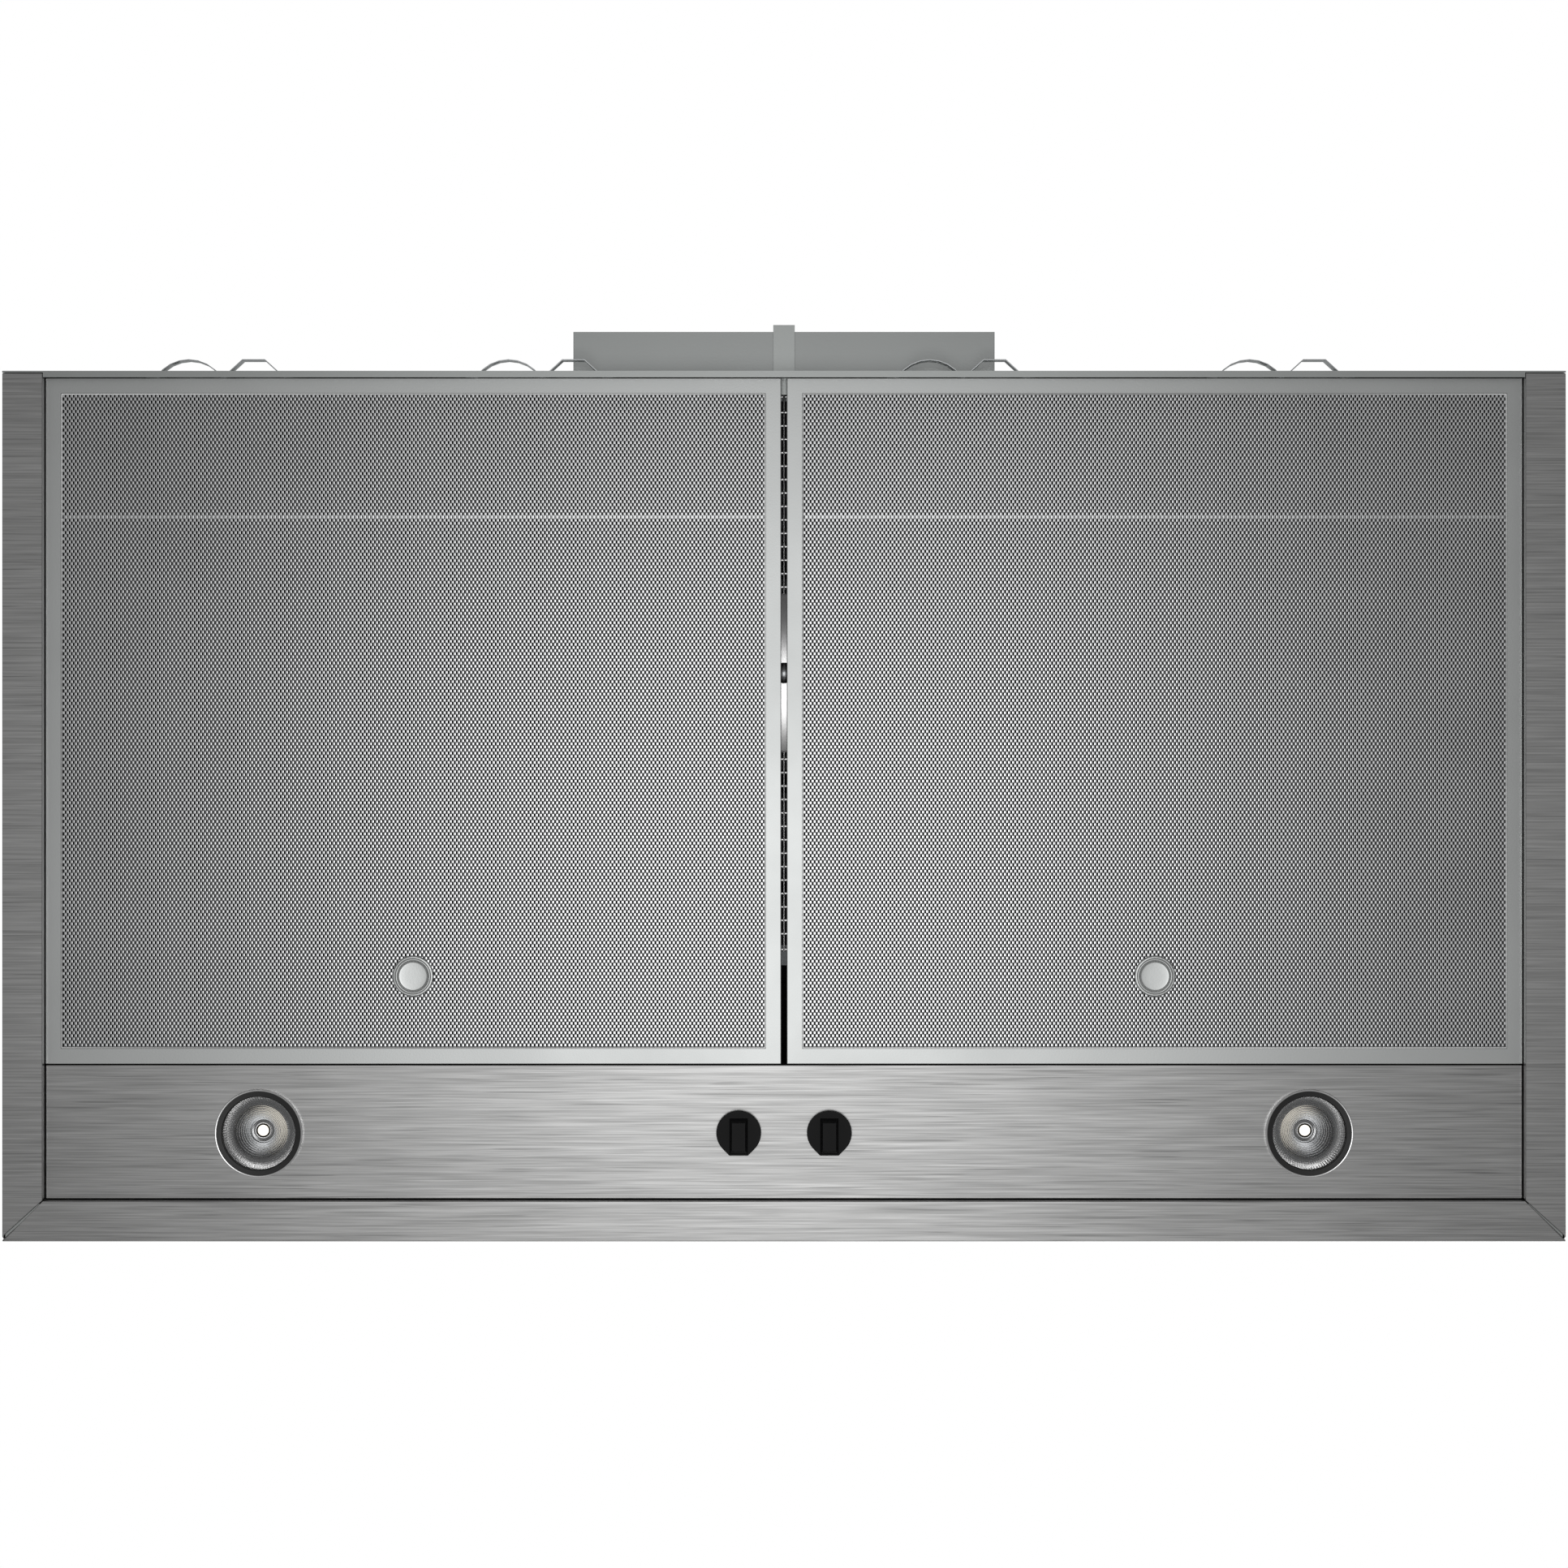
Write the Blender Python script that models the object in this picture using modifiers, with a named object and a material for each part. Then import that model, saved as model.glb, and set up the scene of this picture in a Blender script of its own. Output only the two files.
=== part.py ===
"""Wall-mounted range hood, 36 in wide: a folded steel canopy with a rear duct collar, a centrifugal
blower, two mesh grease filters, two lamps and two rotary controls.

Metres, +Z up. The origin is the centre of the top face, which fastens up against a cabinet. The
front faces -Y and the duct collar points to +Y. Heights inside this file are counted from the lip
plane, the lowest edge of the canopy, because everything is parented to the empty "lip_plane".
Left and right are those of a person who stands in front of the hood: +X is right.
"""

import math

import bmesh
import bpy
from mathutils import Matrix, Vector

MM = 0.001
GAP = 0.3 * MM  # clearance between pieces that touch

# Canopy
WIDTH = 912.8 * MM
DEPTH = 508.2 * MM
HEIGHT = 152.4 * MM
SHEET = 1.0 * MM
LIP = 23.5 * MM  # width of the turned-in lip round the front and sides
RETURN = 12.0 * MM  # height of the flange on the lip's inner edge
APRON = 70.0 * MM  # height of the upright front before it slopes back
TOP_DEPTH = 330.2 * MM  # the flat top fits under a 13 in deep cabinet
RECESS = 8.0 * MM  # filters and control panel sit this far above the lip plane

HALF_W = WIDTH / 2
FRONT = -DEPTH / 2
REAR = DEPTH / 2
TOP_FRONT = REAR - TOP_DEPTH
SLOPE = math.atan2(HEIGHT - APRON, TOP_FRONT - FRONT)
WALL_IN = REAR - SHEET  # inner face of the rear wall
CEILING = HEIGHT - SHEET - GAP  # top of whatever lies against the top sheet
MITRE_GAP = 0.3 * MM
CORNER_RELIEF = 1.2 * MM  # the side's lower front corner is cut back for the front's bend
SIDES = {"left": -1, "right": 1}

# Cut-outs of the canopy
KEYHOLE_X = 290.0 * MM
KEYHOLE_FRONT = -30.0 * MM
KEYHOLE_REAR = 200.0 * MM
KEYHOLE_R = 6.0 * MM
KEYHOLE_SLOT = 2.75 * MM
KEYHOLE_LENGTH = 16.0 * MM
OUTLET_HALF = 126.0 * MM
OUTLET_FRONT = 156.0 * MM
OUTLET_REAR = 238.0 * MM
COVER_LAP = 8.0 * MM
SUPPLY_X = 392.0 * MM
SUPPLY_Z = 126.0 * MM
SUPPLY_R = 11.1 * MM

# Electrics
BOX_HALF = 48.0 * MM
BOX_DEPTH = 90.0 * MM
BOX_LOW = 104.7 * MM
DRIVER_X = -155.0 * MM
DRIVER_FRONT = -214.0 * MM
DRIVER_LENGTH = 92.0 * MM
DRIVER_DEPTH = 44.0 * MM
DRIVER_HEIGHT = 24.0 * MM
CAPACITOR_AT = (-262.0 * MM, 100.0 * MM)
CAPACITOR_R = 17.5 * MM
CAPACITOR_LOW = 92.0 * MM

# Control panel, lamps and controls
PANEL_HALF = 432.2 * MM
PANEL_FRONT = -229.9 * MM
PANEL_REAR = -151.75 * MM
PANEL_WALL = 30.0 * MM
LAMP_X = 307.3 * MM
LAMP_Y = -191.5 * MM
BEZEL_R = 25.5 * MM
REFLECTOR_R = 21.4 * MM
LAMP_BODY_R = 23.4 * MM
LAMP_BODY_TOP = 62.0 * MM
EMITTER_R = 4.1 * MM
BEZEL_LOW = 4.0 * MM
CUP_TOP = 27.0 * MM
BRACKET_FRONT = -214.0 * MM
BRACKET_REAR = -168.0 * MM
BRACKET_Z = 40.0 * MM
BRACKET_LEG = 20.0 * MM
BUSH_HOLE_R = 5.0 * MM
KNOB_X = 26.5 * MM
KNOB_Y = -191.1 * MM
KNOB_R = 13.1 * MM
KNOB_NOSE = 10.9 * MM
KNOB_BASE = 5.9 * MM  # thickness of the knob's disc
KNOB_LOW = -5.0 * MM  # lowest point of the grip
GRIP_W = 11.0 * MM
GRIP_FRONT = 12.6 * MM
GRIP_REAR = 9.0 * MM
GRIP_TAPER = 0.70
GRIP_SLOPE = 2.6 * MM
SHAFT_R = 3.0 * MM
BORE_DEPTH = 3.5 * MM  # how far the shaft reaches into the grip
NUT_R = 8.0 * MM
NUT_T = 2.5 * MM
NUT_SPACE = 3.4 * MM
SWITCH_HALF = 12.0 * MM
SWITCH_H = 18.0 * MM

# Filters
FILTER_HALF_W = 215.4 * MM
FILTER_FRONT = -151.1 * MM
FILTER_REAR = 250.7 * MM
FILTER_GAP = 3.4 * MM  # between the two filters
FILTER_T = 12.0 * MM
FILTER_SHEET = 0.8 * MM
FILTER_BORDER = 9.5 * MM
MESH_T = 1.5 * MM
PULL_Y = -99.6 * MM
PULL_R = 12.0 * MM
PULL_DISH_R = 9.0 * MM
PULL_LOW = 5.0 * MM
PULL_EDGE = 1.0 * MM
PULL_STEM_R = 4.6 * MM
PULL_CAP_R = 9.0 * MM
PULL_CAP_T = 1.5 * MM
SPRING_T = 0.6 * MM
SPRING_CROWN = 11.1 * MM  # how far a spring stands behind the frame
SPRING_LOW = 1.0 * MM
SPRING_HIGH = 12.0 * MM
SPRING_FOOT = 6.0 * MM
HUMP_OFFSET = 93.7 * MM  # from the filter's centre to each spring's flat-topped hump
HUMP_BASE = 35.6 * MM
HUMP_TOP = 13.2 * MM
ARCH_OFFSET = 38.05 * MM  # from that hump to the round one
ARCH_CHORD = 38.0 * MM
WINDOW_EASE = 2.0 * MM
WINDOW_H = 17.0 * MM
RAIL_Z = 26.0 * MM
RAIL_DEPTH = 10.6 * MM
RAIL_LEG = 10.0 * MM
FILTER_X = FILTER_HALF_W + FILTER_GAP / 2
FILTER_PLACES = {side: sign * FILTER_X for side, sign in SIDES.items()}
SPRING_PLACES = {"inner": -HUMP_OFFSET, "outer": HUMP_OFFSET}

# Blower
BLOWER_Y = 79.0 * MM
GUARD_Z = 47.5 * MM
GUARD_T = 2.0 * MM
GUARD_R = 164.5 * MM
GUARD_HUB_R = 47.3 * MM
GUARD_HOLE_R = 6.0 * MM
GUARD_SPOKES = 8
GUARD_RINGS = 2
GUARD_BAR = 2.4 * MM
INLET_Z = 50.0 * MM
INLET_HOLE_R = 162.0 * MM
SCROLL_LOW = INLET_Z + SHEET + GAP
SCROLL_HIGH = 137.1 * MM
SCROLL_R = 166.0 * MM
SCROLL_GROWTH = 12.0 * MM
THROAT_HALF = 124.0 * MM
THROAT_Y = REAR - 5.0 * MM
TONGUE = math.radians(41.8)
WHEEL_R = 146.0 * MM
WHEEL_LOW = 64.0 * MM
WHEEL_HIGH = 121.5 * MM
BLADES = 20
BLADE_LEAN = math.radians(28)
MOTOR_R = 48.0 * MM
MOTOR_LOW = 86.0 * MM
AXLE_R = 4.0 * MM
AXLE_END = 5.5 * MM  # how far the axle stands below the wheel's hub
WHEEL_NUT_R = 7.5 * MM
WHEEL_NUT_T = 3.5 * MM
WIRING_HOLE_R = 8.0 * MM
TOP_PLATE_T = 1.2 * MM
HANGER_X = 148.0 * MM
HANGER_FOOT = 14.0 * MM
HANGER_FRONT = 20.0 * MM
HANGER_REAR = 140.0 * MM
BELL_THROAT_R = 124.0 * MM
BELL_BEND = 11.5 * MM
BELL_T = 1.5 * MM
BELL_FLANGE_R = 165.0 * MM

# Duct collar and back-draught dampers
COLLAR_HALF_W = 125.4 * MM
COLLAR_LOW = 48.0 * MM
COLLAR_HIGH = 127.4 * MM
COLLAR_MOUTH = 282.1 * MM
COLLAR_FLANGE = 10.0 * MM
STRAP_HALF = 6.4 * MM
STRAP_T = 1.2 * MM
STRAP_START = 256.0 * MM
STRAP_END = 286.0 * MM
DAMPER_Y = 268.0 * MM
DAMPER_Z = 121.6 * MM
DAMPER_LOW = 50.2 * MM
PIN_R = 1.5 * MM
BARREL_R = 3.0 * MM
BARREL_WALL = 1.1 * MM
FLAP_T = 0.8 * MM
FLAP_EASE = 2.0 * MM


# ---------------------------------------------------------------- scene, finishes and placing

for old in list(bpy.data.objects):
    bpy.data.objects.remove(old)


def make_collection(name):
    """A new collection in the scene."""
    collection = bpy.data.collections.new(name)
    bpy.context.scene.collection.children.link(collection)
    return collection


PARTS = make_collection("range_hood")
CUTTERS = make_collection("cutters")


def finish(name, colour, roughness, metallic, glow=0.0):
    """A Principled material of one colour."""
    material = bpy.data.materials.new(name)
    material.use_nodes = True
    shader = material.node_tree.nodes["Principled BSDF"]
    shader.inputs["Base Color"].default_value = (*colour, 1)
    shader.inputs["Roughness"].default_value = roughness
    shader.inputs["Metallic"].default_value = metallic
    shader.inputs["Emission Color"].default_value = (*colour, 1)
    shader.inputs["Emission Strength"].default_value = glow
    return material


BRUSHED = finish("brushed_steel", (0.62, 0.62, 0.61), 0.3, 1.0)
SATIN = finish("satin_steel", (0.55, 0.57, 0.56), 0.45, 1.0)
GALVANISED = finish("galvanised_steel", (0.5, 0.52, 0.53), 0.5, 1.0)
MESH = finish("aluminium_mesh", (0.6, 0.61, 0.6), 0.4, 1.0)
SPRING = finish("spring_steel", (0.6, 0.62, 0.63), 0.3, 1.0)
BLACK = finish("black_plastic", (0.012, 0.012, 0.013), 0.35, 0.0)
BLACK_METAL = finish("black_painted_metal", (0.02, 0.02, 0.02), 0.5, 0.0)
DARK_CHROME = finish("dark_chrome", (0.25, 0.25, 0.25), 0.2, 1.0)
MIRROR = finish("reflector_coating", (0.85, 0.85, 0.85), 0.12, 1.0)
GLOW = finish("warm_emitter", (1.0, 0.93, 0.8), 0.4, 0.0, glow=6.0)
CAST = finish("cast_aluminium", (0.45, 0.46, 0.47), 0.5, 1.0)
WHITE = finish("white_plastic", (0.8, 0.8, 0.78), 0.4, 0.0)


def lip_position(obj):
    """Where an object stands, counted from the lip plane."""
    place = Vector((0, 0, 0))
    while obj and obj is not LIP_PLANE:
        place += obj.location
        obj = obj.parent
    return place


def attach(obj, at=(0, 0, 0), parent=None, collection=PARTS):
    """Puts an object in its collection, at a point counted from the lip plane, under a parent."""
    collection.objects.link(obj)
    obj.parent = parent or LIP_PLANE
    obj.location = Vector(at) - lip_position(obj.parent)
    return obj


def axis_empty(name, at):
    """The parent of a moving body, on its joint's axis."""
    return attach(bpy.data.objects.new(name, None), at)


LIP_PLANE = bpy.data.objects.new("lip_plane", None)
PARTS.objects.link(LIP_PLANE)
LIP_PLANE.location = (0, 0, -HEIGHT)


# ---------------------------------------------------------------- shapes

def mesh_object(name, bm, material, smooth=False):
    """An object from a bmesh, which is freed."""
    mesh = bpy.data.meshes.new(name)
    bm.to_mesh(mesh)
    bm.free()
    if smooth:
        mesh.shade_smooth()
        mesh.set_sharp_from_angle(angle=math.radians(35))
    obj = bpy.data.objects.new(name, mesh)
    if material:
        mesh.materials.append(material)
    return obj


def cube_mesh(size):
    """A bmesh box of that size, centred on its origin."""
    bm = bmesh.new()
    bmesh.ops.create_cube(bm, size=1.0)
    bmesh.ops.scale(bm, vec=size, verts=bm.verts)
    return bm


def block(name, material, low, high, parent=None, bevel=0.0, collection=PARTS):
    """A box between two corners, with its origin at its centre."""
    low, high = Vector(low), Vector(high)
    obj = mesh_object(name, cube_mesh(high - low), material)
    if bevel:
        rounding = obj.modifiers.new("rounding", "BEVEL")
        rounding.width = bevel
        rounding.segments = 2
    return attach(obj, (low + high) / 2, parent, collection)


def open_box(name, material, low, high, open_side):
    """A folded tray: a box with the face that looks along open_side left out."""
    low, high = Vector(low), Vector(high)
    bm = cube_mesh(high - low)
    bm.normal_update()
    missing = [face for face in bm.faces if face.normal.dot(Vector(open_side)) > 0.5]
    bmesh.ops.delete(bm, geom=missing, context="FACES")
    obj = attach(mesh_object(name, bm, material), (low + high) / 2)
    return thicken(obj, SHEET)


def thicken(obj, thickness, side=-1):
    """Sheet thickness, with side -1 away from the surface's normals and 0 half on each side."""
    solid = obj.modifiers.new("thickness", "SOLIDIFY")
    solid.thickness = thickness
    solid.offset = side
    solid.solidify_mode = "NON_MANIFOLD"
    solid.nonmanifold_thickness_mode = "CONSTRAINTS"
    return obj


def sheet(name, material, points, faces, thickness=SHEET, side=-1, parent=None):
    """A folded sheet from the corners of one of its surfaces, counted from the lip plane."""
    origin = lip_position(parent)
    mesh = bpy.data.meshes.new(name)
    mesh.from_pydata([Vector(point) - origin for point in points], [], faces)
    if material:
        mesh.materials.append(material)
    obj = attach(bpy.data.objects.new(name, mesh), origin, parent)
    return thicken(obj, thickness, side)


def folded(name, material, rows, thickness=SHEET, side=-1, parent=None):
    """A sheet folded along straight lines. Each row is the two ends of one line."""
    points = [end for row in rows for end in row]
    faces = [(i, i + 1, i + 3, i + 2) for i in range(0, len(points) - 2, 2)]
    return sheet(name, material, points, faces, thickness, side, parent)


def ring_loft(name, material, loops, thickness=SHEET, parent=None):
    """A sheet folded round a closed outline, from one loop of corners to the next."""
    count = len(loops[0])
    points = [point for loop in loops for point in loop]
    faces = []
    for start in range(0, len(points) - count, count):
        for i in range(count):
            j = (i + 1) % count
            faces.append((start + i, start + j, start + count + j, start + count + i))
    return sheet(name, material, points, faces, thickness, parent=parent)


def prism(name, material, outline, along, collection=PARTS):
    """A flat outline of points from the lip plane, extruded along a vector."""
    bm = bmesh.new()
    face = bm.faces.new([bm.verts.new(point) for point in outline])
    grown = bmesh.ops.extrude_face_region(bm, geom=[face], use_keep_orig=True)["geom"]
    corners = [item for item in grown if isinstance(item, bmesh.types.BMVert)]
    bmesh.ops.translate(bm, vec=along, verts=corners)
    bmesh.ops.recalc_face_normals(bm, faces=bm.faces)
    return attach(mesh_object(name, bm, material), collection=collection)


def turned(name, material, profile, at, parent=None, steps=40, collection=PARTS):
    """A profile of (radius, height) turned about Z. One that ends off the axis is a closed ring."""
    bm = bmesh.new()
    points = [bm.verts.new((radius, 0, height)) for radius, height in profile]
    pairs = list(zip(points, points[1:]))
    if profile[0][0] > 0:
        pairs.append((points[-1], points[0]))
    for pair in pairs:
        bm.edges.new(pair)
    obj = mesh_object(name, bm, material)
    screw = obj.modifiers.new("turn", "SCREW")
    screw.steps = screw.render_steps = steps
    screw.use_merge_vertices = True
    screw.merge_threshold = 0.01 * MM
    screw.use_smooth_shade = True
    return attach(obj, at, parent, collection)


def cylinder(name, material, radius, low, high, at, parent=None, steps=32, collection=PARTS):
    """An upright cylinder on the point (x, y), between two heights."""
    profile = ((0, high), (radius, high), (radius, low), (0, low))
    return turned(name, material, profile, (*at, 0), parent, steps, collection)


def tube(name, material, outer, inner, low, high, at, parent=None, steps=32, collection=PARTS):
    """An upright tube on the point (x, y), between two heights."""
    profile = ((inner, high), (outer, high), (outer, low), (inner, low))
    return turned(name, material, profile, (*at, 0), parent, steps, collection)


def arc(radius, start, end, count, centre=(0, 0)):
    """count + 1 points along an arc, angles in radians."""
    angles = (start + (end - start) * i / count for i in range(count + 1))
    return [(centre[0] + radius * math.cos(a), centre[1] + radius * math.sin(a)) for a in angles]


def circle(radius, count, centre=(0, 0)):
    """Points round a circle."""
    return arc(radius, 0, 2 * math.pi, count, centre)[:-1]


def rectangle(x0, x1, y0, y1):
    """Corners of a rectangle, counterclockwise."""
    return [(x0, y0), (x1, y0), (x1, y1), (x0, y1)]


def plate(name, material, outlines, low, high, at=(0, 0), parent=None, collection=PARTS):
    """A flat plate from closed outlines: a first one that holds the others has them as holes."""
    curve = bpy.data.curves.new(name, "CURVE")
    curve.dimensions = "2D"
    curve.fill_mode = "BOTH"
    curve.extrude = (high - low) / 2
    for outline in outlines:
        spline = curve.splines.new("POLY")
        spline.points.add(len(outline) - 1)
        spline.use_cyclic_u = True
        for point, (x, y) in zip(spline.points, outline):
            point.co = (x, y, 0, 1)
    if material:
        curve.materials.append(material)
    obj = bpy.data.objects.new(name, curve)
    return attach(obj, (*at, (low + high) / 2), parent, collection)


def as_mesh(obj):
    """Replaces a curve object by the closed mesh that it makes, so that it can be cut or cut with."""
    graph = bpy.context.evaluated_depsgraph_get()
    mesh = bpy.data.meshes.new_from_object(obj.evaluated_get(graph))
    bm = bmesh.new()
    bm.from_mesh(mesh)
    bmesh.ops.remove_doubles(bm, verts=bm.verts, dist=0.001 * MM)
    bmesh.ops.recalc_face_normals(bm, faces=bm.faces)
    bm.to_mesh(mesh)
    bm.free()
    name, parent = obj.name, obj.parent
    collection, location = obj.users_collection[0], obj.location.copy()
    bpy.data.objects.remove(obj)
    solid = bpy.data.objects.new(name, mesh)
    collection.objects.link(solid)
    solid.parent = parent
    solid.location = location
    return solid


def combine(obj, other, operation="DIFFERENCE"):
    """Cuts with, or joins to, a helper that the model itself doesn't show."""
    other.hide_render = True
    other.display_type = "WIRE"
    boolean = obj.modifiers.new(other.name, "BOOLEAN")
    boolean.operation = operation
    boolean.object = other
    boolean.solver = "EXACT"
    return obj


def across(half, y, z):
    """One fold line from side to side of the canopy."""
    return (-half, y, z), (half, y, z)


def slope_height(y, inset):
    """Height of the sloping front at y, for a surface set this far in from the outside."""
    return APRON + (y - FRONT - inset / math.sin(SLOPE)) * math.tan(SLOPE)


def slope_depth(z, inset):
    """Y of the sloped front at a height, that far inside the shell."""
    return FRONT + (z - APRON) / math.tan(SLOPE) + inset / math.sin(SLOPE)


# ---------------------------------------------------------------- canopy

def keyhole(x, y):
    """Outline of one keyhole: a screw head passes the round end, the slot runs forward."""
    turn = math.asin(KEYHOLE_SLOT / KEYHOLE_R)
    head = arc(KEYHOLE_R, turn - math.pi / 2, 1.5 * math.pi - turn, 14, (x, y))
    tip = arc(KEYHOLE_SLOT, math.pi, 2 * math.pi, 6, (x, y - KEYHOLE_LENGTH))
    return head + tip


def build_shell():
    """Front, sloping front and top: one folded sheet whose lip is mitred at both ends."""
    rows = [
        across(HALF_W - LIP, FRONT + LIP, RETURN),
        across(HALF_W - LIP, FRONT + LIP, 0),
        across(HALF_W, FRONT, 0),
        across(HALF_W, FRONT, APRON),
        across(HALF_W, TOP_FRONT, HEIGHT),
        across(HALF_W, REAR, HEIGHT),
    ]
    shell = folded("canopy_shell", BRUSHED, rows)
    cuts = [keyhole(x, y) for x in (-KEYHOLE_X, KEYHOLE_X) for y in (KEYHOLE_FRONT, KEYHOLE_REAR)]
    cuts.append(rectangle(-OUTLET_HALF, OUTLET_HALF, OUTLET_FRONT, OUTLET_REAR))
    low, high = HEIGHT - 3 * SHEET, HEIGHT + SHEET
    combine(shell, as_mesh(plate("top_cuts", None, cuts, low, high, collection=CUTTERS)))
    cover = rectangle(
        -OUTLET_HALF - COVER_LAP,
        OUTLET_HALF + COVER_LAP,
        OUTLET_FRONT - COVER_LAP,
        OUTLET_REAR + COVER_LAP,
    )
    plate("top_outlet_cover", GALVANISED, [cover], CEILING - SHEET, CEILING)


def build_side_panel(name, sign):
    """One side, with its lip and the lip's return. The front end of the lip is mitred."""
    inset = SHEET + GAP
    front, rear = FRONT + inset, WALL_IN - GAP
    outer, inner = sign * HALF_W, sign * (HALF_W - LIP)
    lip_front = FRONT + LIP + MITRE_GAP
    outline = (
        (front + CORNER_RELIEF, 0),
        (rear, 0),
        (rear, CEILING),
        (slope_depth(CEILING, inset), CEILING),
        (front, slope_height(front, inset)),
        (front, 2 * CORNER_RELIEF),
    )
    wall = prism(name, BRUSHED, [(outer, y, z) for y, z in outline], (-sign * SHEET, 0, 0))
    mitred = (outer - sign * SHEET / 2, front + CORNER_RELIEF + SHEET / 2, 0), (inner, lip_front, 0)
    lip = [*mitred, (inner, rear, 0), (outer - sign * SHEET / 2, rear, 0)]
    combine(wall, prism(f"{name}_lip", None, lip, (0, 0, SHEET), CUTTERS), "UNION")
    upright = [(inner, lip_front, 0), (inner, rear, 0), (inner, rear, RETURN), (inner, lip_front, RETURN)]
    combine(wall, prism(f"{name}_return", None, upright, (sign * SHEET, 0, 0), CUTTERS), "UNION")


def build_rear_panel():
    """Rear wall with its bottom flange, the duct opening, the supply hole and spring windows."""
    flange = HALF_W - LIP - GAP
    panel = block("rear_panel", SATIN, (-HALF_W, WALL_IN, 0), (HALF_W, REAR, CEILING))
    corners = (-flange, FILTER_REAR - GAP, 0), (flange, REAR - SHEET / 2, SHEET)
    combine(panel, block("rear_flange", None, *corners, collection=CUTTERS), "UNION")
    low, high = WALL_IN - SHEET, REAR + SHEET
    for side, centre in FILTER_PLACES.items():
        for label, hump in SPRING_PLACES.items():
            x0 = centre + hump - HUMP_BASE / 2 - WINDOW_EASE
            x1 = centre + hump + ARCH_OFFSET + ARCH_CHORD / 2 + WINDOW_EASE
            corners = (x0, low, RECESS), (x1, high, RECESS + WINDOW_H)
            combine(panel, block(f"{side}_{label}_window", None, *corners, collection=CUTTERS))
    duct_low = (-COLLAR_HALF_W - GAP, low, COLLAR_LOW - GAP)
    duct_high = (COLLAR_HALF_W + GAP, high, COLLAR_HIGH + GAP)
    combine(panel, block("duct_opening", None, duct_low, duct_high, collection=CUTTERS))
    combine(panel, SUPPLY_CUTTER)


def build_rear_rail():
    """Angle rail above the rear edge of the filters."""
    half = HALF_W - SHEET - GAP
    wall = WALL_IN - GAP
    rows = [
        across(half, wall, RAIL_Z + RAIL_LEG),
        across(half, wall, RAIL_Z),
        across(half, wall - RAIL_DEPTH, RAIL_Z),
    ]
    folded("rear_filter_rail", SATIN, rows)


def build_control_panel():
    """Folded tray behind the front lip, hung on a bracket at each end."""
    low = (-PANEL_HALF, PANEL_FRONT, RECESS)
    high = (PANEL_HALF, PANEL_REAR, RECESS + PANEL_WALL)
    panel = open_box("control_panel", BRUSHED, low, high, (0, 0, 1))
    holes = [circle(LAMP_BODY_R + GAP, 40, (x, LAMP_Y)) for x in (-LAMP_X, LAMP_X)]
    holes += [circle(BUSH_HOLE_R, 24, (x, KNOB_Y)) for x in (-KNOB_X, KNOB_X)]
    cutter = plate("panel_holes", None, holes, RECESS - SHEET, RECESS + 2 * SHEET, collection=CUTTERS)
    combine(panel, as_mesh(cutter))
    for side, sign in SIDES.items():
        leg = sign * (PANEL_HALF + GAP + SHEET / 2)
        wall = sign * (HALF_W - GAP - 1.5 * SHEET)
        rows = [
            ((x, BRACKET_FRONT, z), (x, BRACKET_REAR, z))
            for x, z in (
                (leg, BRACKET_Z - BRACKET_LEG),
                (leg, BRACKET_Z),
                (wall, BRACKET_Z),
                (wall, BRACKET_Z + BRACKET_LEG),
            )
        ]
        folded(f"{side}_panel_bracket", GALVANISED, rows, side=0)


def build_electrics():
    """Junction box over the supply hole, the lamps' driver and the motor's capacitor."""
    low = (SUPPLY_X - BOX_HALF, WALL_IN - GAP - BOX_DEPTH, BOX_LOW)
    high = (SUPPLY_X + BOX_HALF, WALL_IN - GAP, CEILING)
    box = open_box("junction_box", GALVANISED, low, high, (0, 0, -1))
    combine(box, SUPPLY_CUTTER)
    cover = rectangle(low[0], high[0], low[1], high[1])
    plate("junction_box_cover", GALVANISED, [cover], BOX_LOW - GAP - SHEET, BOX_LOW - GAP)
    driver_low = (DRIVER_X - DRIVER_LENGTH / 2, DRIVER_FRONT, RECESS + SHEET + GAP)
    driver_high = Vector(driver_low) + Vector((DRIVER_LENGTH, DRIVER_DEPTH, DRIVER_HEIGHT))
    block("led_driver", WHITE, driver_low, driver_high, bevel=2 * MM)
    cylinder("motor_capacitor", CAST, CAPACITOR_R, CAPACITOR_LOW, CEILING, CAPACITOR_AT)


# ---------------------------------------------------------------- duct collar and dampers

def upright_rectangle(half, low, high, y):
    """Corners of a rectangle that stands across the hood."""
    return [(-half, y, low), (half, y, low), (half, y, high), (-half, y, high)]


def build_collar():
    """Rectangular collar flanged inside the rear wall, with a strap round its mouth."""
    wall = WALL_IN - GAP
    loops = [
        upright_rectangle(COLLAR_HALF_W, COLLAR_LOW, COLLAR_HIGH, COLLAR_MOUTH),
        upright_rectangle(COLLAR_HALF_W, COLLAR_LOW, COLLAR_HIGH, wall),
        upright_rectangle(
            COLLAR_HALF_W + COLLAR_FLANGE, COLLAR_LOW - COLLAR_FLANGE, COLLAR_HIGH + COLLAR_FLANGE, wall
        ),
    ]
    ring_loft("duct_collar", SATIN, loops)
    top, bottom = COLLAR_HIGH + GAP + STRAP_T, COLLAR_LOW - GAP - STRAP_T
    rows = [
        across(STRAP_HALF, STRAP_START, top),
        across(STRAP_HALF, STRAP_END, top),
        across(STRAP_HALF, STRAP_END, bottom),
        across(STRAP_HALF, STRAP_START, bottom),
    ]
    folded("collar_strap", SATIN, rows, STRAP_T)


def lying(obj, x, y, z):
    """Turns an upright turned piece to lie along X at a point counted from the lip plane."""
    obj.rotation_euler.y = math.pi / 2
    obj.location = Vector((x, y, z)) - lip_position(obj.parent)
    return obj


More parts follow.
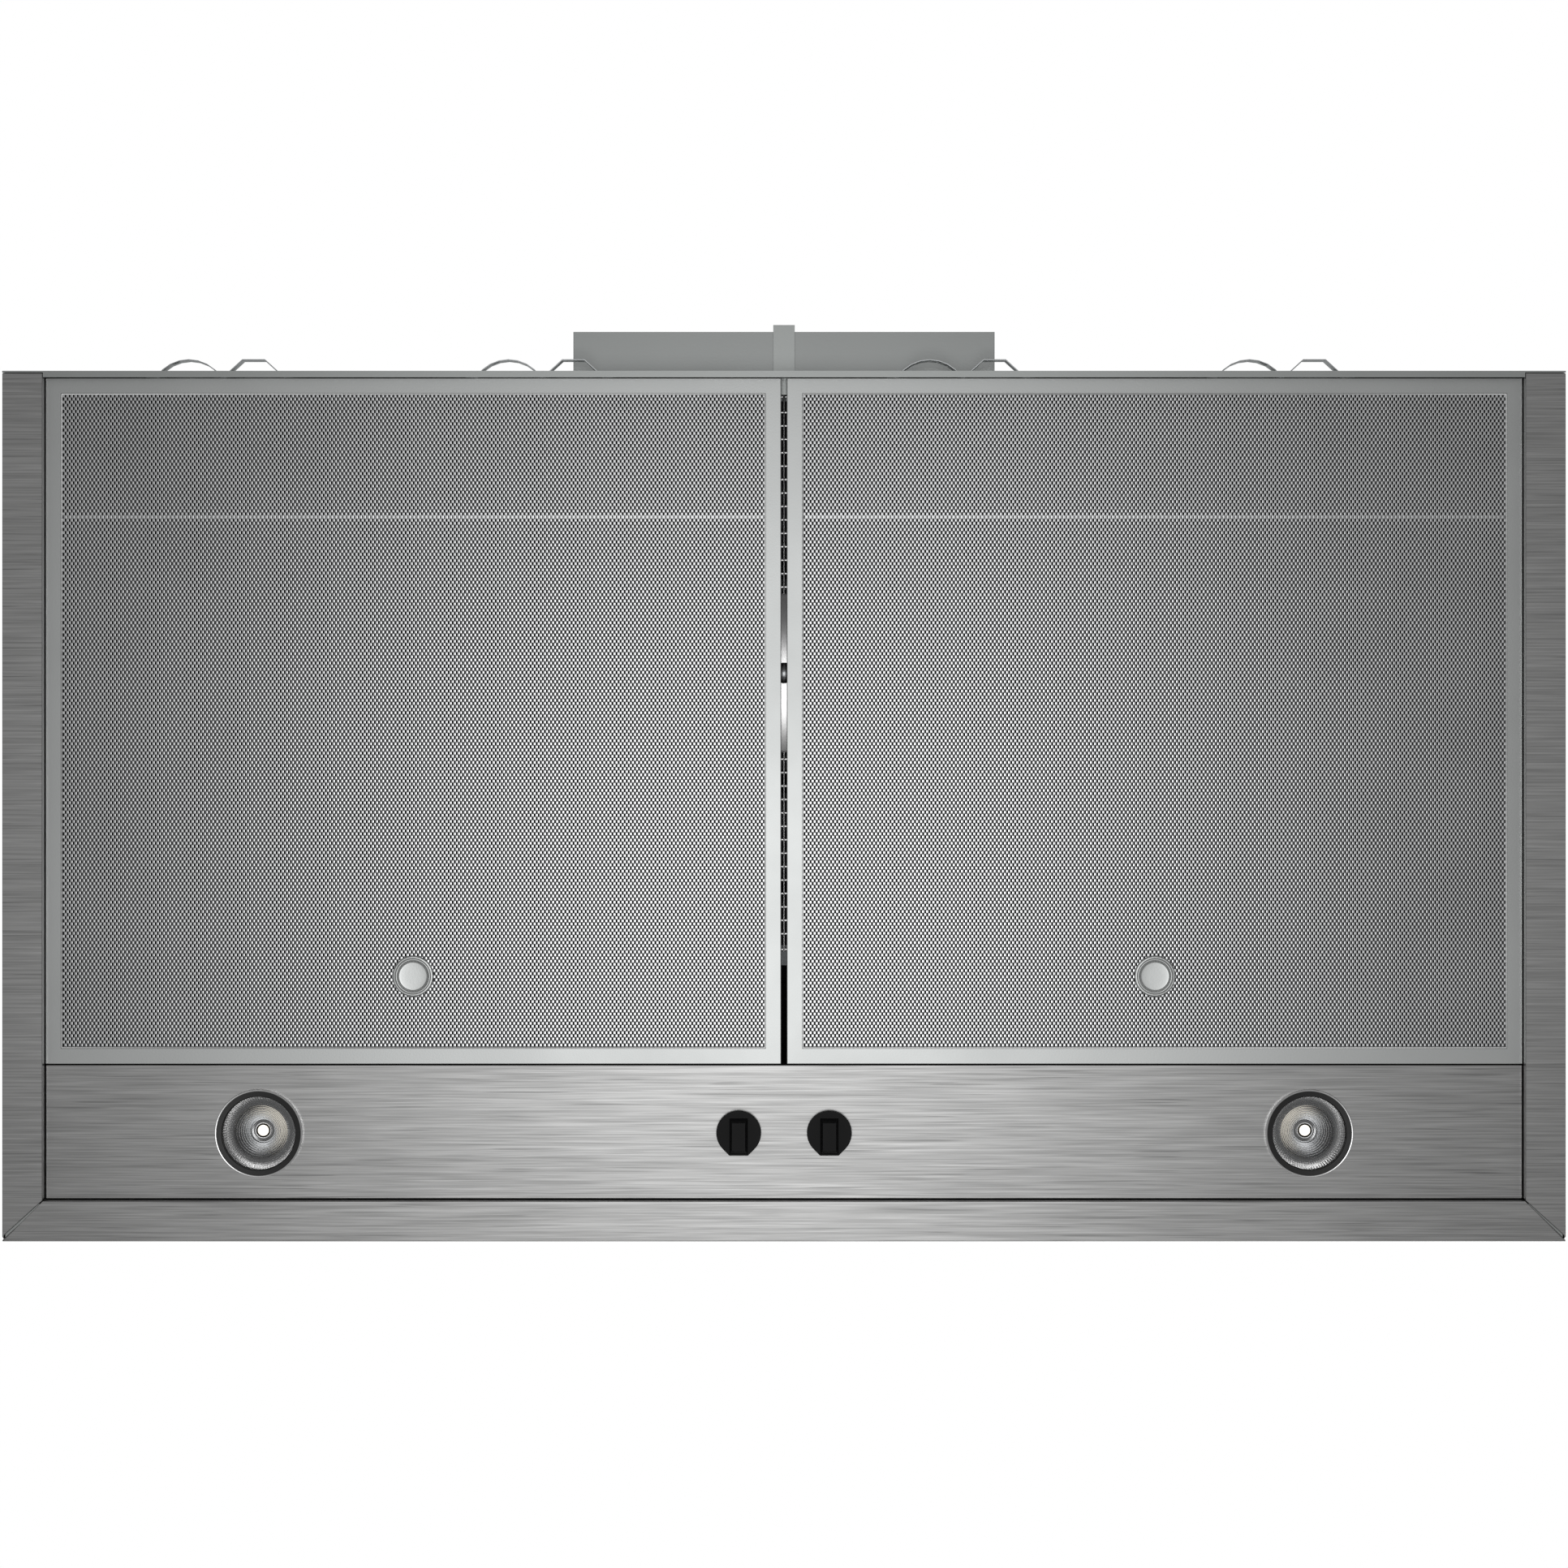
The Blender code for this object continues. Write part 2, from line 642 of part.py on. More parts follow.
def build_dampers():
    """Two flaps hang from one pin inside the collar, one on each side of the strap."""
    pin_half = COLLAR_HALF_W - SHEET - GAP
    pin = cylinder("damper_pin", CAST, PIN_R, -pin_half, pin_half, (0, 0), steps=16)
    lying(pin, 0, DAMPER_Y, DAMPER_Z)
    near, far = STRAP_HALF + FLAP_EASE, COLLAR_HALF_W - SHEET - FLAP_EASE
    for side, sign in SIDES.items():
        middle, half = sign * (near + far) / 2, (far - near) / 2
        axis = axis_empty(f"{side}_damper_axis", (middle, DAMPER_Y, DAMPER_Z))
        low = (middle - half, DAMPER_Y - FLAP_T / 2, DAMPER_LOW)
        high = (middle + half, DAMPER_Y + FLAP_T / 2, DAMPER_Z - BARREL_R + BARREL_WALL / 2)
        flap = block(f"{side}_damper_flap", GALVANISED, low, high, axis)
        barrel = tube(
            f"{side}_barrel", None, BARREL_R, BARREL_R - BARREL_WALL, -half, half, (0, 0), axis, 16, CUTTERS
        )
        combine(flap, lying(barrel, middle, DAMPER_Y, DAMPER_Z), "UNION")


# ---------------------------------------------------------------- blower

def scroll_path(grow=0.0):
    """Plan of the housing: from the throat's right edge round the wheel to its left edge."""
    turns = 28
    sweep = TONGUE + math.pi
    path = [(THROAT_HALF + grow, THROAT_Y)]
    for i in range(turns + 1):
        part = i / turns
        angle = TONGUE - sweep * part
        radius = SCROLL_R + SCROLL_GROWTH * part + grow
        path.append((radius * math.cos(angle), BLOWER_Y + radius * math.sin(angle)))
    path.append((-THROAT_HALF - grow, THROAT_Y))
    return path


def ring_cells():
    """Openings of the inlet guard, between its hub, rings and spokes."""
    step = (GUARD_R - GUARD_HUB_R) / GUARD_RINGS
    half = GUARD_BAR / 2
    cells = []
    for ring in range(GUARD_RINGS):
        near = GUARD_HUB_R + ring * step + (half if ring else 0)
        far = GUARD_HUB_R + (ring + 1) * step - half
        for spoke in range(GUARD_SPOKES):
            start = 2 * math.pi * spoke / GUARD_SPOKES
            end = start + 2 * math.pi / GUARD_SPOKES
            lean_near, lean_far = math.asin(half / near), math.asin(half / far)
            outer = arc(far, start + lean_far, end - lean_far, 5)
            inner = arc(near, end - lean_near, start + lean_near, 5)
            cells.append(outer + inner)
    return cells


def build_blower_housing():
    """Scroll housing between two plates, with its inlet ring, guard, brackets, motor and capacitor."""
    scroll = [((x, y, SCROLL_LOW), (x, y, SCROLL_HIGH)) for x, y in scroll_path()]
    folded("blower_scroll", GALVANISED, scroll, side=0)
    outline = scroll_path(grow=1.5 * SHEET)
    inlet = circle(INLET_HOLE_R, 48, (0, BLOWER_Y))
    plate("blower_inlet_plate", GALVANISED, [outline, inlet], INLET_Z, INLET_Z + SHEET)
    wiring = circle(WIRING_HOLE_R, 16, (0, BLOWER_Y - MOTOR_R - 4 * WIRING_HOLE_R))
    top = SCROLL_HIGH + GAP
    plate("blower_top_plate", GALVANISED, [outline, wiring], top, top + TOP_PLATE_T)
    foot_z = top + TOP_PLATE_T + GAP
    for side, sign in SIDES.items():
        rows = [
            ((sign * x, HANGER_FRONT, z), (sign * x, HANGER_REAR, z))
            for x, z in (
                (HANGER_X - HANGER_FOOT, foot_z),
                (HANGER_X, foot_z),
                (HANGER_X, CEILING - SHEET),
                (HANGER_X + HANGER_FOOT, CEILING - SHEET),
            )
        ]
        folded(f"{side}_blower_bracket", GALVANISED, rows, side=-sign)
    centre = (0, BLOWER_Y, 0)
    mouth = (BELL_THROAT_R + BELL_BEND, SCROLL_LOW + BELL_BEND)
    half_turn = math.pi
    profile = arc(BELL_BEND - BELL_T, half_turn, 1.5 * half_turn, 4, mouth)
    profile += [(BELL_FLANGE_R, SCROLL_LOW + BELL_T), (BELL_FLANGE_R, SCROLL_LOW)]
    profile += arc(BELL_BEND, 1.5 * half_turn, half_turn, 4, mouth)
    turned("inlet_ring", BLACK, profile, centre, steps=36)
    guard = [circle(GUARD_R + GUARD_BAR / 2, 48), circle(GUARD_HOLE_R, 16), *ring_cells()]
    plate("inlet_guard", CAST, guard, GUARD_Z, GUARD_Z + GUARD_T, (0, BLOWER_Y))
    chamfer = 3 * MM
    body = (
        (0, SCROLL_HIGH),
        (MOTOR_R, SCROLL_HIGH),
        (MOTOR_R, MOTOR_LOW + chamfer),
        (MOTOR_R - chamfer, MOTOR_LOW),
        (0, MOTOR_LOW),
    )
    turned("motor_body", BLACK_METAL, body, centre)


def build_wheel():
    """Forward-curved wheel: a dished back plate round the motor, blades and an end ring."""
    axis = axis_empty("blower_axis", (0, BLOWER_Y, WHEEL_LOW))
    centre = (0, BLOWER_Y, 0)
    bore, boss, dish, rim = AXLE_R + GAP, 12 * MM, MOTOR_R + 8 * MM, MOTOR_R + 22 * MM
    hub_low, hub_high, dish_z, wall = 70 * MM, 84 * MM, 80 * MM, 1.5 * MM
    profile = (
        (bore, hub_high),
        (boss, hub_high),
        (boss, dish_z + wall),
        (dish, dish_z + wall),
        (rim, WHEEL_HIGH),
        (WHEEL_R, WHEEL_HIGH),
        (WHEEL_R, WHEEL_HIGH - wall),
        (rim + wall, WHEEL_HIGH - wall),
        (dish + wall, dish_z),
        (boss, dish_z),
        (boss, hub_low),
        (bore, hub_low),
    )
    wheel = turned("impeller", BLACK, profile, centre, axis, BLADES * 2)
    ring_w, ring_t = 6 * MM, 2 * MM
    ring_high = WHEEL_LOW + ring_t
    span = (WHEEL_R, WHEEL_R - ring_w, WHEEL_LOW, ring_high)
    ring = tube("end_ring", None, *span, (0, BLOWER_Y), axis, BLADES * 2, CUTTERS)
    bm = bmesh.new()
    length, thick = 24 * MM, 1.2 * MM
    low, high = WHEEL_LOW + ring_t / 2, WHEEL_HIGH - wall / 2
    for i in range(BLADES):
        turn = Matrix.Rotation(2 * math.pi * (i + 0.5) / BLADES, 4, "Z")
        place = Matrix.Translation((WHEEL_R - length / 2 - ring_t, 0, (low + high) / 2 - WHEEL_LOW))
        lean = Matrix.Rotation(BLADE_LEAN, 4, "Z")
        size = Matrix.Diagonal((length, thick, high - low, 1))
        bmesh.ops.create_cube(bm, size=1.0, matrix=turn @ place @ lean @ size)
    blades = attach(mesh_object("blades", bm, None), (0, BLOWER_Y, WHEEL_LOW), axis, CUTTERS)
    combine(wheel, ring, "UNION")
    combine(wheel, blades, "UNION")
    at = (0, BLOWER_Y)
    cylinder("motor_shaft", CAST, AXLE_R, hub_low - AXLE_END, MOTOR_LOW - GAP, at, axis, 20)
    nut_high = hub_low - GAP
    nut_bore = bore / math.cos(math.pi / 6)
    nut_low = nut_high - WHEEL_NUT_T
    tube("impeller_nut", CAST, WHEEL_NUT_R, nut_bore, nut_low, nut_high, at, axis, 6)


# ---------------------------------------------------------------- lamps and controls

def build_lamp(side, x):
    """Bezel under the panel, faceted cup, emitter and the body that carries them."""
    at = (x, LAMP_Y, 0)
    top, low, edge = RECESS - GAP, BEZEL_LOW, 0.9 * MM
    bezel = (
        (REFLECTOR_R, top),
        (BEZEL_R, top),
        (BEZEL_R, low + edge),
        (BEZEL_R - edge, low),
        (REFLECTOR_R + edge, low),
        (REFLECTOR_R, low + edge),
    )
    turned(f"{side}_lamp_bezel", DARK_CHROME, bezel, at, steps=36)
    rim, throat, wall = RECESS + GAP, EMITTER_R + 2 * GAP, 0.8 * MM
    depth = CUP_TOP - rim
    cup = []
    steps = 5
    for i in range(steps + 1):
        part = i / steps
        cup.append((throat + (REFLECTOR_R - throat) * part**0.62, CUP_TOP - depth * part))
    outside = [(radius + wall, height) for radius, height in cup]
    turned(f"{side}_lamp_reflector", MIRROR, outside + cup[::-1], at, steps=28)
    floor = CUP_TOP + GAP
    cylinder(f"{side}_lamp_emitter", GLOW, EMITTER_R, floor - 4 * GAP, floor - GAP, at[:2], steps=20)
    chamfer = 4 * MM
    body = (
        (0, LAMP_BODY_TOP),
        (LAMP_BODY_R - chamfer, LAMP_BODY_TOP),
        (LAMP_BODY_R, LAMP_BODY_TOP - chamfer),
        (LAMP_BODY_R, rim),
        (LAMP_BODY_R - wall, rim),
        (LAMP_BODY_R - wall, floor),
        (0, floor),
    )
    turned(f"{side}_lamp_housing", CAST, body, at, steps=28)


def knob_outline():
    """A round disc drawn out to a flat nose that points to the front."""
    half = KNOB_NOSE / 2
    corner = math.atan2(half, KNOB_R)
    touch = corner + math.acos(KNOB_R / math.hypot(half, KNOB_R))
    disc = arc(KNOB_R, touch - math.pi / 2, 1.5 * math.pi - touch, 28)
    return disc + [(-half, -KNOB_R), (half, -KNOB_R)]


def build_control(label, x):
    """Knob and shaft turn in a rotary switch that a nut clamps to the panel."""
    axis = axis_empty(f"{label}_knob_axis", (x, KNOB_Y, RECESS))
    at = (x, KNOB_Y)
    high = RECESS - 2 * GAP
    low = high - KNOB_BASE
    knob = as_mesh(plate(f"{label}_knob", BLACK, [knob_outline()], low, high, at, axis))
    rounding = knob.modifiers.new("rounding", "BEVEL")
    rounding.width = 0.5 * MM
    rounding.limit_method = "ANGLE"
    bm = cube_mesh((GRIP_W, GRIP_FRONT + GRIP_REAR, low - KNOB_LOW + SHEET))
    for vertex in bm.verts:
        if vertex.co.z < 0:
            vertex.co.x *= GRIP_TAPER
            vertex.co.y -= math.copysign(GRIP_SLOPE, vertex.co.y)
    grip = mesh_object(f"{label}_grip", bm, None)
    middle = (x, KNOB_Y + (GRIP_REAR - GRIP_FRONT) / 2, (low + SHEET + KNOB_LOW) / 2)
    combine(knob, attach(grip, middle, axis, CUTTERS), "UNION")
    hollow_low = high - NUT_SPACE
    hollow = cylinder(f"{label}_hollow", None, NUT_R + SHEET, hollow_low, RECESS, at, axis, 24, CUTTERS)
    combine(knob, hollow)
    bore = (f"{label}_bore", None, SHAFT_R + GAP, low - BORE_DEPTH, RECESS)
    combine(knob, cylinder(*bore, at, axis, 20, CUTTERS))
    switch_low = RECESS + SHEET + GAP
    shaft_low = low - BORE_DEPTH + GAP
    cylinder(f"{label}_shaft", CAST, SHAFT_R, shaft_low, switch_low + SWITCH_H / 2, at, axis, 20)
    corners = (x - SWITCH_HALF, KNOB_Y - SWITCH_HALF), (x + SWITCH_HALF, KNOB_Y + SWITCH_HALF)
    switch = block(
        f"{label}_switch", BLACK, (*corners[0], switch_low), (*corners[1], switch_low + SWITCH_H)
    )
    socket_high = switch_low + SWITCH_H / 2 + GAP
    socket = (f"{label}_socket", None, SHAFT_R + GAP, RECESS, socket_high)
    combine(switch, cylinder(*socket, at, None, 20, CUTTERS))
    nut_high = RECESS - GAP
    tube(f"{label}_switch_nut", CAST, NUT_R, BUSH_HOLE_R, nut_high - NUT_T, nut_high, at, steps=6)


# ---------------------------------------------------------------- filters

def spring_path(start):
    """Plan of one leaf spring, from the filter's rear face: a flat-topped hump, then a round one."""
    foot = FILTER_REAR + GAP + SPRING_T
    crown = FILTER_REAR + SPRING_CROWN
    rise = crown - foot
    radius = ((ARCH_CHORD / 2) ** 2 + rise**2) / (2 * rise)
    half_angle = math.asin(ARCH_CHORD / 2 / radius)
    middle = (start + ARCH_OFFSET, crown - radius)
    hump = [
        (start - HUMP_BASE / 2 - SPRING_FOOT, foot),
        (start - HUMP_BASE / 2, foot),
        (start - HUMP_TOP / 2, crown),
        (start + HUMP_TOP / 2, crown),
        (start + HUMP_BASE / 2, foot),
    ]
    arch = arc(radius, math.pi / 2 + half_angle, math.pi / 2 - half_angle, 8, middle)
    return hump + arch + [(start + ARCH_OFFSET + ARCH_CHORD / 2 + SPRING_FOOT, foot)]


def build_filter(side, centre):
    """Channel frame, mesh pack, pull and two leaf springs, hinged on the rear lower edge."""
    axis = axis_empty(f"{side}_filter_axis", (centre, FILTER_REAR, RECESS))
    x0, x1 = centre - FILTER_HALF_W, centre + FILTER_HALF_W
    top = RECESS + FILTER_T

    def loop(inset, z):
        """The frame's outline at a height, that far inside its edge."""
        outline = rectangle(x0 + inset, x1 - inset, FILTER_FRONT + inset, FILTER_REAR - inset)
        return [(x, y, z) for x, y in outline]

    border = FILTER_BORDER
    loops = [loop(border, RECESS), loop(0, RECESS), loop(0, top), loop(border, top)]
    ring_loft(f"{side}_filter_frame", SATIN, loops, FILTER_SHEET, axis)
    inset = FILTER_SHEET + 2 * GAP
    mesh = rectangle(x0 + inset, x1 - inset, FILTER_FRONT + inset, FILTER_REAR - inset)
    mesh_low = RECESS + FILTER_SHEET + GAP
    mesh_high = mesh_low + MESH_T
    hole = circle(PULL_STEM_R + GAP, 20, (centre, PULL_Y))
    plate(f"{side}_filter_mesh", MESH, [mesh, hole], mesh_low, mesh_high, parent=axis)
    cap = mesh_high + GAP
    neck = mesh_low - GAP
    pull = (
        (0, cap + PULL_CAP_T),
        (PULL_CAP_R, cap + PULL_CAP_T),
        (PULL_CAP_R, cap),
        (PULL_STEM_R, cap),
        (PULL_STEM_R, neck),
        (PULL_R, neck),
        (PULL_R, PULL_LOW + PULL_EDGE),
        (PULL_R - PULL_EDGE, PULL_LOW),
        (PULL_DISH_R + PULL_EDGE / 2, PULL_LOW),
        (PULL_DISH_R, PULL_LOW + PULL_EDGE),
        (0, PULL_LOW + 1.5 * PULL_EDGE),
    )
    turned(f"{side}_filter_pull", SATIN, pull, (centre, PULL_Y, 0), axis, 24)
    for label, hump in SPRING_PLACES.items():
        heights = RECESS + SPRING_LOW, RECESS + SPRING_HIGH
        rows = [tuple((x, y, z) for z in heights) for x, y in spring_path(centre + hump)]
        folded(f"{side}_filter_{label}_spring", SPRING, rows, SPRING_T, parent=axis)


# ---------------------------------------------------------------- the whole hood

SUPPLY_CUTTER = cylinder(
    "supply_hole", None, SUPPLY_R, -BOX_DEPTH / 4, BOX_DEPTH / 4, (0, 0), collection=CUTTERS
)
SUPPLY_CUTTER.rotation_euler.x = math.pi / 2
SUPPLY_CUTTER.location = (SUPPLY_X, REAR, SUPPLY_Z)

build_shell()
build_rear_panel()
build_rear_rail()
build_control_panel()
build_electrics()
build_collar()
build_dampers()
build_blower_housing()
build_wheel()
for side_name, side_sign in SIDES.items():
    build_side_panel(f"{side_name}_side_panel", side_sign)
    build_lamp(side_name, side_sign * LAMP_X)
    build_filter(side_name, FILTER_PLACES[side_name])
build_control("light", -KNOB_X)
build_control("fan", KNOB_X)
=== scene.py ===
"""Looks of a 36 in wall range hood, seen from straight below.

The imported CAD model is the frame. Every dimension that another piece depends on is read from it.
Metres, +Z up, front to -Y. Left and right are those of a person in front of the hood: +X is right.
"""

import enum
import logging
import math
from dataclasses import dataclass, field

import bmesh
import bpy
import numpy as np
from mathutils import Matrix, Vector


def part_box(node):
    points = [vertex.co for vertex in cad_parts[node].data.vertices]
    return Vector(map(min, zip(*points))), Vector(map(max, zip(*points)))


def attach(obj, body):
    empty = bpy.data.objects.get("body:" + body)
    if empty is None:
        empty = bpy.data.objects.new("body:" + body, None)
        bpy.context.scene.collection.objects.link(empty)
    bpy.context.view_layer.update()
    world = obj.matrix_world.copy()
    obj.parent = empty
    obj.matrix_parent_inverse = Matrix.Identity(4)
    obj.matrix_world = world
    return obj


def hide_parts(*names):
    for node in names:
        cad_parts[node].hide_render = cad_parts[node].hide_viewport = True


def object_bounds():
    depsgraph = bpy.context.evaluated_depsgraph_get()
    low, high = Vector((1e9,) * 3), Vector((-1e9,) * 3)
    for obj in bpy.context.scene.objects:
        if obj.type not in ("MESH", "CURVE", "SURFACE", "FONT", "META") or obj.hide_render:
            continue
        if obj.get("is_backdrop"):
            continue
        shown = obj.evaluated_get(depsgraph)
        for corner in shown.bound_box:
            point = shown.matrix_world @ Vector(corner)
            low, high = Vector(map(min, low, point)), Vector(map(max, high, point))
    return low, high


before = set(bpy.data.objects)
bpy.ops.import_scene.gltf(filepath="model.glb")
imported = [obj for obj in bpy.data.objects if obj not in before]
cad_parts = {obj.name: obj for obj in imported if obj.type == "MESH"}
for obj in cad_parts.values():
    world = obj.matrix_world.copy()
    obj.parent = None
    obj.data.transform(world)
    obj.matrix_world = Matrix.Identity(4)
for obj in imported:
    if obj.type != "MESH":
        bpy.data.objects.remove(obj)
CAD_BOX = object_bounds()

LOG = logging.getLogger("range_hood")
MM = 0.001
SIDES = ("left", "right")


# ---------------------------------------------------------------- shader building blocks

class Slot(enum.Enum):
    """The record's material slots, listed beside the emitter's rings; no piece takes its finish from them.
    """

    GALVANISED = "galvanised_steel"
    FILTER_FRAME = "filter_frame_steel"
    FILTER_MESH = "filter_mesh"
    SPRING = "spring_steel"
    BLACK_PLASTIC = "black_plastic"
    DARK_CHROME = "dark_chrome"
    REFLECTOR = "reflector_coating"
    EMITTER = "warm_emitter"
    CAST = "cast_metal"


@dataclass
class Nodes:
    """A short hand for one node tree."""

    tree: bpy.types.NodeTree

    def add(self, kind: str, **values: object) -> bpy.types.Node:
        """Adds a node.

        Args:
            kind: The node's type name.
            values: Properties of the node, or values of its inputs by socket name, with
                underscores for spaces.

        Returns:
            The new node.
        """
        node = self.tree.nodes.new(kind)
        for name, value in values.items():
            if hasattr(node, name):
                setattr(node, name, value)
            else:
                node.inputs[name.replace("_", " ")].default_value = value
        return node

    def link(self, source: bpy.types.NodeSocket, target: bpy.types.NodeSocket) -> None:
        """Joins an output to an input."""
        self.tree.links.new(source, target)

    def math(self, operation: str, first: object, second: object = 0.0) -> bpy.types.NodeSocket:
        """Adds a Math node.

        Args:
            operation: The node's operation.
            first: A socket or a number.
            second: A socket or a number.

        Returns:
            The node's output.
        """
        node = self.add("ShaderNodeMath", operation=operation)
        for slot, value in zip(node.inputs, (first, second)):
            if isinstance(value, bpy.types.NodeSocket):
                self.link(value, slot)
            else:
                slot.default_value = value
        return node.outputs[0]

    def ramp(
        self, source: bpy.types.NodeSocket, low: float, high: float, start: float, end: float
    ) -> bpy.types.NodeSocket:
        """Maps a range of values to another, clamped.

        Args:
            source: The value that is mapped.
            low: Input that gives start.
            high: Input that gives end.
            start: Lowest output.
            end: Highest output.

        Returns:
            The mapped value.
        """
        node = self.add("ShaderNodeMapRange")
        self.link(source, node.inputs["Value"])
        for name, value in (("From Min", low), ("From Max", high), ("To Min", start), ("To Max", end)):
            node.inputs[name].default_value = value
        return node.outputs["Result"]


class ShaderGroups:
    """Effects that more than one finish uses, each built once as a node group."""

    def __init__(self) -> None:
        """Builds the groups."""
        self.grain = self._build_grain()
        self.mottle = self._build_mottle()
        self.worn_and_lit_edges = self._build_edge_wear_and_highlight()

    @staticmethod
    def _start(name: str, inputs: dict[str, float], outputs: tuple[str, ...]) -> Nodes:
        """Makes an empty group with float inputs and outputs, and its two end nodes.

        Args:
            name: The group's name.
            inputs: Default value by input name.
            outputs: Output names.

        Returns:
            The group's node tree.
        """
        tree = bpy.data.node_groups.new(name, "ShaderNodeTree")
        for title, value in inputs.items():
            socket = tree.interface.new_socket(title, in_out="INPUT", socket_type="NodeSocketFloat")
            socket.default_value = value
        for title in outputs:
            tree.interface.new_socket(title, in_out="OUTPUT", socket_type="NodeSocketFloat")
        nodes = Nodes(tree)
        nodes.add("NodeGroupInput", name="in")
        nodes.add("NodeGroupOutput", name="out")
        return nodes

    def _build_grain(self) -> bpy.types.NodeTree:
        """Brush marks: long fine streaks, longer broad ones and a few deep scratches.

        Returns:
            The group, whose outputs are 0 to 1.
        """
        nodes = self._start("brush_marks", {"Density": 20.0}, ("Fine", "Broad", "Scratch"))
        inside, outside = nodes.tree.nodes["in"], nodes.tree.nodes["out"]
        place = nodes.add("ShaderNodeTexCoord")
        facing = nodes.add("ShaderNodeSeparateXYZ")
        nodes.link(place.outputs["Normal"], facing.inputs[0])
        flank = nodes.math("GREATER_THAN", nodes.math("ABSOLUTE", facing.outputs["X"]), 0.7)
        stretch = two_tones(nodes, flank, (1.0, 55.0, 55.0), (55.0, 1.0, 55.0))
        scaled = nodes.add("ShaderNodeVectorMath", operation="MULTIPLY")
        nodes.link(place.outputs["Object"], scaled.inputs[0])
        nodes.link(stretch, scaled.inputs[1])
        settings = (("Fine", 1.0, 4.0), ("Broad", 0.45, 2.0), ("Scratch", 0.8, 0.0))
        for title, finer, detail in settings:
            noise = nodes.add("ShaderNodeTexNoise", Detail=detail)
            nodes.link(scaled.outputs[0], noise.inputs["Vector"])
            nodes.link(nodes.math("MULTIPLY", inside.outputs["Density"], finer), noise.inputs["Scale"])
            value = noise.outputs["Fac"]
            limits = (0.70, 0.76) if title == "Scratch" else (0.25, 0.75)
            nodes.link(nodes.ramp(value, *limits, 0.0, 1.0), outside.inputs[title])
        return nodes.tree

    def _build_mottle(self) -> bpy.types.NodeTree:
        """Soft blotches and a fine speckle, the same in all directions.

        Returns:
            The group, whose outputs are 0 to 1.
        """
        nodes = self._start("mottle", {"Blotch Scale": 30.0, "Speckle Scale": 900.0}, ("Blotch", "Speckle"))
        inside, outside = nodes.tree.nodes["in"], nodes.tree.nodes["out"]
        place = nodes.add("ShaderNodeTexCoord").outputs["Object"]
        for title, detail in (("Blotch", 4.0), ("Speckle", 1.0)):
            noise = nodes.add("ShaderNodeTexNoise", Detail=detail)
            nodes.link(place, noise.inputs["Vector"])
            nodes.link(inside.outputs[f"{title} Scale"], noise.inputs["Scale"])
            nodes.link(nodes.ramp(noise.outputs["Fac"], 0.3, 0.7, 0.0, 1.0), outside.inputs[title])
        return nodes.tree

    def _build_edge_wear_and_highlight(self) -> bpy.types.NodeTree:
        """A mask of convex edges, broken up by noise. SatinMetal lightens its colour with it as a painted
        edge highlight; MouldedPlastic lowers its roughness with it for polished, worn edges.

        Returns:
            The group, whose output is 1 on a convex edge.
        """
        nodes = self._start("edge_wear_and_painted_highlight", {"Radius": 0.0006, "Break Up": 400.0}, ("Worn And Lit Edge",))
        inside, outside = nodes.tree.nodes["in"], nodes.tree.nodes["out"]
        bevel = nodes.add("ShaderNodeBevel", samples=4)
        nodes.link(inside.outputs["Radius"], bevel.inputs["Radius"])
        geometry = nodes.add("ShaderNodeNewGeometry")
        facing = nodes.add("ShaderNodeVectorMath", operation="DOT_PRODUCT")
        nodes.link(bevel.outputs["Normal"], facing.inputs[0])
        nodes.link(geometry.outputs["True Normal"], facing.inputs[1])
        edge = nodes.ramp(facing.outputs["Value"], 0.995, 0.9, 0.0, 1.0)
        noise = nodes.add("ShaderNodeTexNoise", Detail=2.0)
        nodes.link(inside.outputs["Break Up"], noise.inputs["Scale"])
        nodes.link(nodes.math("MULTIPLY", edge, noise.outputs["Fac"]), outside.inputs["Worn And Lit Edge"])
        return nodes.tree


def start_material(name: str) -> tuple[bpy.types.Material, Nodes, bpy.types.Node]:
    """Makes a node material.

    Args:
        name: The material's name.

    Returns:
        The material, its node tree and its Principled BSDF.
    """
    material = bpy.data.materials.new(name)
    material.use_nodes = True
    nodes = Nodes(material.node_tree)
    return material, nodes, material.node_tree.nodes["Principled BSDF"]


def two_tones(
    nodes: Nodes, mask: bpy.types.NodeSocket, low: tuple[float, ...], high: tuple[float, ...]
) -> bpy.types.NodeSocket:
    """Mixes two colours by a mask.

    Args:
        nodes: The tree that it is made in.
        mask: 0 for low, 1 for high.
        low: Linear RGB.
        high: Linear RGB.

    Returns:
        The colour.
    """
    mix = nodes.add("ShaderNodeMix", data_type="RGBA")
    nodes.link(mask, mix.inputs[0])
    mix.inputs[6].default_value = (*low, 1)
    mix.inputs[7].default_value = (*high, 1)
    return mix.outputs[2]


def add_bump(
    nodes: Nodes, shader: bpy.types.Node, height: bpy.types.NodeSocket, strength: float, depth: float
) -> None:
    """Gives a shader a bumped normal.

    Args:
        nodes: The tree that it is made in.
        shader: The Principled BSDF.
        height: The relief, 0 to 1.
        strength: How much of the bump is used.
        depth: Depth of the relief.
    """
    bump = nodes.add("ShaderNodeBump", Strength=strength, Distance=depth)
    nodes.link(height, bump.inputs["Height"])
    nodes.link(bump.outputs["Normal"], shader.inputs["Normal"])


def scaled_colour(colour: tuple[float, ...], factor: float) -> tuple[float, ...]:
    """A colour made lighter or darker."""
    return tuple(min(1.0, channel * factor) for channel in colour)


# ---------------------------------------------------------------- finishes

